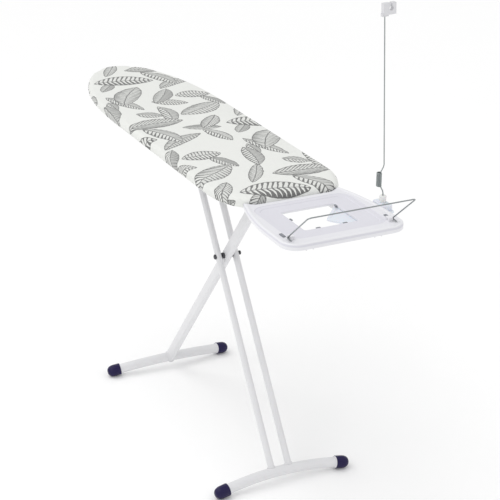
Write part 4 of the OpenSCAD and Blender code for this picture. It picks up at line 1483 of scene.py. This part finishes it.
@dataclass
class CableHolder:
    """The cable mast: socket bracket, plug, lower wire, coil spring and long wire."""

    x: float = 634.0
    y: float = 191.0
    coil_y: float = 177.0
    coil_z: float = 967.0
    coil_r: float = 5.8
    turns: int = 13
    pitch: float = 3.2
    wire: float = 3.4
    socket_top: float = 921.0
    mast_top: float = 1446.0
    lean: float = math.radians(2.3)

    def build(self, wardrobe: Wardrobe) -> None:
        """Makes every piece of the holder."""
        self.make_bracket(wardrobe["bracket_plastic"])
        self.make_plug(wardrobe["white_plastic"])
        self.make_spring(wardrobe["wire_steel"])
        self.make_mast(wardrobe["wire_steel"])

    def make_bracket(self, finish: bpy.types.Material) -> None:
        """The plate under the tray with its pointed tongue, two ridges and the socket block."""
        low, high = 900.2, 906.5
        square = [[696.0, 94.0], [596.5, 94.5], [568.3, 93.5], [568.3, 80.0]]
        point = [[642.0, 16.5], [652.0, 18.5], [695.7, 54.0]]
        tongue = np.array(square + point)[::-1]
        outline = rounded(tongue, [2, 2, 3, 3, 6, 5, 2], 6, True)[::-1]
        shell = slab(outline[::-1] if self.area(outline) < 0 else outline, low, high, 1.2)
        plate = round_rect(75.6, 113.0, 3.0) + [self.x, 149.4]
        shell = shell + slab(plate, low + 0.05, high + 0.05, 1.2)
        block = round_rect(59.6, 29.8, 6.0) + [self.x, self.y]
        shell = shell + slab(block, 895.2, self.socket_top, 2.2, 6)
        corners = np.array([[6.2, 921.0], [6.2, 922.4], [9.6, 922.4], [10.8, 920.6]])
        ring_shape = rounded(corners, [0.3, 0.5, 0.9, 0.3], 4, True)
        collar = surface(Feet.revolved(ring_shape), wrap_rows=True)
        collar.points[:, 2] -= 0.9
        shell = shell + collar.placed((self.x, self.y, 0), np.eye(3))
        for x0, y0, x1, y1 in ((575, 86, 640, 30), (690, 62, 655, 30)):
            line = np.linspace([x0, y0, high - 0.6], [x1, y1, high - 0.6], 24)
            shell = shell + carried(line, ring(1.5, 12), (0, 0, 1))
        piece = shell.piece("holder_bracket_moulding")
        settle(piece, "board", "bracket_plastic", finish, "cable_holder_bracket")

    @staticmethod
    def area(outline: np.ndarray) -> float:
        """Signed area of an outline: half the sum of the cross products of its neighbours."""
        after = np.roll(outline, -1, 0)
        return 0.5 * float(np.sum(outline[:, 0] * after[:, 1] - after[:, 0] * outline[:, 1]))

    def make_plug(self, finish: bpy.types.Material) -> None:
        """The tapered plug that turns in the socket: narrow below, wide above."""
        top = self.socket_top
        in_socket = [[0.01, -19.6], [5.3, -19.6], [6.0, -18.6], [6.0, 0.35]]
        flange = [[7.4, 0.35], [7.9, 0.8], [8.1, 3.0]]
        head = [[9.6, 15.0], [9.9, 17.2], [9.4, 18.6], [7.6, 20.0]]
        mouth = [[3.2, 20.0], [2.4, 19.2], [0.01, 19.2]]
        profile = np.array(in_socket + flange + head + mouth)
        profile[:, 1] += top
        shell = turned(profile, 56).placed((self.x, self.y, 0), np.eye(3))
        for height in (4.0, 7.0, 10.0):
            band = Feet.revolved([8.15 + height * 0.12, top + height] + 0.5 * ring(1.0, 10))
            shell = shell + surface(band, wrap_rows=True).placed((self.x, self.y, 0), np.eye(3))
        settle(shell.piece("tapered_plug", 35.0), "mast_base", "white_plastic", finish, "mast_plug")

    def make_spring(self, finish: bpy.types.Material) -> None:
        """The lower wire and the coil in one length: a straight rise, a crank and a true helix.

        The helix is (r sin a, r cos a, start + pitch * a / 2 pi) about the coil's axis.
        """
        a = np.linspace(0, 2 * math.pi * (self.turns - 1), 40 * (self.turns - 1))
        start = self.coil_z + self.wire / 2
        helix = np.stack(
            [
                self.x + self.coil_r * np.sin(a),
                self.coil_y + self.coil_r * np.cos(a),
                start + self.pitch * a / (2 * math.pi),
            ],
            1,
        )
        crank = np.array(
            [
                [self.x, self.y, 928.0],
                [self.x, self.y, 951.0],
                [self.x - 1.5, self.coil_y + self.coil_r + 0.6, start - 3.0],
                helix[0] + [1.5, 0, 0],
            ]
        )
        lead = rounded(crank, [0.5, 7, 3, 0.5], 12, False)
        path = spaced(np.concatenate([lead, helix[8:]]))
        shell = carried(path, ring(self.wire / 2, 12), (0.02, 0.3, 1.0))
        nodes = ("coil_spring", "mast_lower_wire")
        settle(shell.piece("coil_and_lower_wire"), "mast_base", "wire_steel", finish, *nodes)

    def make_mast(self, finish: bpy.types.Material) -> None:
        """The upper wire: a crank from the coil's top turn and a long straight lean."""
        base = self.coil_z + self.turns * self.pitch + 1.2
        rise = self.mast_top - base - 14
        corners = np.array(
            [
                [self.x, self.coil_y + self.coil_r - 0.8, base - 0.5],
                [self.x, self.y, base + 14],
                [self.x, self.y - rise * math.tan(self.lean), self.mast_top + 3],
            ]
        )
        path = spaced(rounded(corners, [0.5, 7, 0.5], 12, False))
        shell = carried(path, ring(self.wire / 2 - 0.2, 16), (1, 0, 0))
        settle(shell.piece("mast_wire_upper"), "mast_top", "wire_steel", finish, "mast_wire")


# ---------------------------------------------------------------- carried-over CAD nodes


CAD_FINISHES = {
    "board_panel": "panel",
    "slide_rail_left": "white_steel",
    "slide_rail_right": "white_steel",
    "rail_end_stops": "grey_plastic",
    "rail_rivets": "plated_steel",
    "leg_bracket": "white_steel",
    "rear_leg_axle": "plated_steel",
    "axle_caps": "plated_steel",
    "tray_arm_left": "white_steel",
    "tray_arm_right": "white_steel",
    "tray_screws": "plated_steel",
    "opening_clips": "grey_plastic",
    "bail_sockets": "tray_plastic",
    "bail_pads": "grey_plastic",
    "lever_bracket": "white_steel",
    "lever_pin": "plated_steel",
    "release_lever": "grey_plastic",
    "height_rack": "plated_steel",
    "pull_rod": "plated_steel",
    "rear_leg_lug": "plated_steel",
    "crossing_spacers": "dark_bolt",
    "slider_rod": "plated_steel",
    "slider_rollers": "white_plastic",
    "front_tube_plugs": "grey_plastic",
    "cable_clip": "clip_plastic",
}


def dress_cad(wardrobe: Wardrobe) -> None:
    """Gives each CAD node that stays in view its finish."""
    for node, slot in CAD_FINISHES.items():
        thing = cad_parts[node]
        if not thing.material_slots:
            thing.data.materials.append(wardrobe[slot])
        for place in thing.material_slots:
            place.material = wardrobe[slot]
        log.info("CAD node %s dressed as %s", node, slot)


# ---------------------------------------------------------------- studio


@dataclass
class Studio:
    """Camera, floor and soft light."""

    eye: tuple = (3.9452, -1.8408, 2.4257)
    azimuth: float = math.radians(63.94)
    elevation: float = math.radians(23.03)
    roll: float = math.radians(0.21)
    lens: float = 111.8
    shift: tuple = (0.0126, -0.0009)

    def build(self) -> None:
        """Makes the camera, the floor, the world and the lights."""
        scene = bpy.context.scene
        data = bpy.data.cameras.new("camera")
        data.lens, data.sensor_width = self.lens, 36.0
        data.shift_x, data.shift_y = self.shift
        camera = show("camera", data)
        flat = math.cos(self.elevation)
        sine, cosine = math.sin(self.azimuth), math.cos(self.azimuth)
        back = Vector((sine * flat, -cosine * flat, math.sin(self.elevation)))
        camera.rotation_mode = "QUATERNION"
        turn = Quaternion((0.0, 0.0, 1.0), self.roll)
        camera.rotation_quaternion = (-back).to_track_quat("-Z", "Y") @ turn
        camera.location = self.eye
        scene.camera = camera
        self.floor()
        self.lamp("key_softbox", (1.6, -3.2, 3.6), 2.2, 26.0)
        self.lamp("fill_softbox", (3.6, 2.4, 2.4), 2.0, 8.0)
        self.sun("window", (-1.2, -1.0, 3.0), 0.85)
        world = bpy.data.worlds.new("white_room")
        world.use_nodes = True
        sky = world.node_tree.nodes["Background"]
        sky.inputs[0].default_value = (1.0, 1.0, 1.0, 1.0)
        sky.inputs[1].default_value = 0.74
        scene.world = world
        scene.view_settings.view_transform = "Standard"

    @staticmethod
    def floor() -> None:
        """A wide pale floor with a faint mottle, clear when seen from below."""
        size = 30.0
        mesh = bpy.data.meshes.new("studio_floor")
        low = -0.0005
        corners = [(-size, -size, low), (size, -size, low), (size, size, low), (-size, size, low)]
        mesh.from_pydata(corners, [], [(0, 1, 2, 3)])
        floor = show("studio_floor", mesh)
        paper = bpy.data.materials.new("pale_paper")
        paper.use_nodes = True
        w = Wiring(paper.node_tree)
        shader = paper.node_tree.nodes["Principled BSDF"]
        cloud = w.noise(w.node("TexCoord").outputs["Object"], 1.5)
        tint = w.blend(cloud, (0.955, 0.955, 0.955, 1.0), (0.97, 0.97, 0.97, 1.0))
        w.feed(shader.inputs["Base Color"], tint)
        white = (1.0, 1.0, 1.0, 1.0)
        Finish.fix(shader, Roughness=0.9, Specular_IOR_Level=0.1)
        Finish.fix(shader, Emission_Color=white, Emission_Strength=0.04)
        clear = w.node("BsdfTransparent")
        swap = w.node("MixShader")
        w.feed(swap.inputs[0], w.node("NewGeometry").outputs["Backfacing"])
        w.feed(swap.inputs[1], shader.outputs[0])
        w.feed(swap.inputs[2], clear.outputs[0])
        w.feed(paper.node_tree.nodes["Material Output"].inputs["Surface"], swap.outputs[0])
        mesh.materials.append(paper)

    @staticmethod
    def sun(name: str, toward: tuple, strength: float) -> None:
        """A very soft even light from the direction toward."""
        data = bpy.data.lights.new(name, "SUN")
        data.angle, data.energy = math.radians(50), strength
        lamp = show(name, data)
        lamp.rotation_mode = "QUATERNION"
        lamp.rotation_quaternion = (-Vector(toward)).to_track_quat("-Z", "Y")

    @staticmethod
    def lamp(name: str, place: tuple, size: float, power: float) -> None:
        """A square soft light that faces the middle of the board."""
        data = bpy.data.lights.new(name, "AREA")
        data.size, data.energy = size, power
        lamp = show(name, data)
        lamp.location = place
        aim = Vector((0.0, 0.0, 0.6)) - Vector(place)
        lamp.rotation_mode = "QUATERNION"
        lamp.rotation_quaternion = aim.to_track_quat("-Z", "Y")


def main() -> None:
    """Builds the board's sub-assemblies in order."""
    logging.basicConfig(level=logging.INFO, format="%(message)s")
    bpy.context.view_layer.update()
    Studio().build()
    wardrobe = Wardrobe(Effects())
    dress_cad(wardrobe)
    board = BoardTop()
    board.build(wardrobe)
    TrayShell().build(board, wardrobe["tray"])
    rear = LegFrame(math.radians(50.5), 389.5)
    front = LegFrame(math.radians(180.0 - 56.0296), 362.4)
    ScissorLegs(rear, front).build(wardrobe)
    WireBail().build(wardrobe["bail_steel"])
    CableHolder().build(wardrobe)


if __name__ == "__main__":
    main()
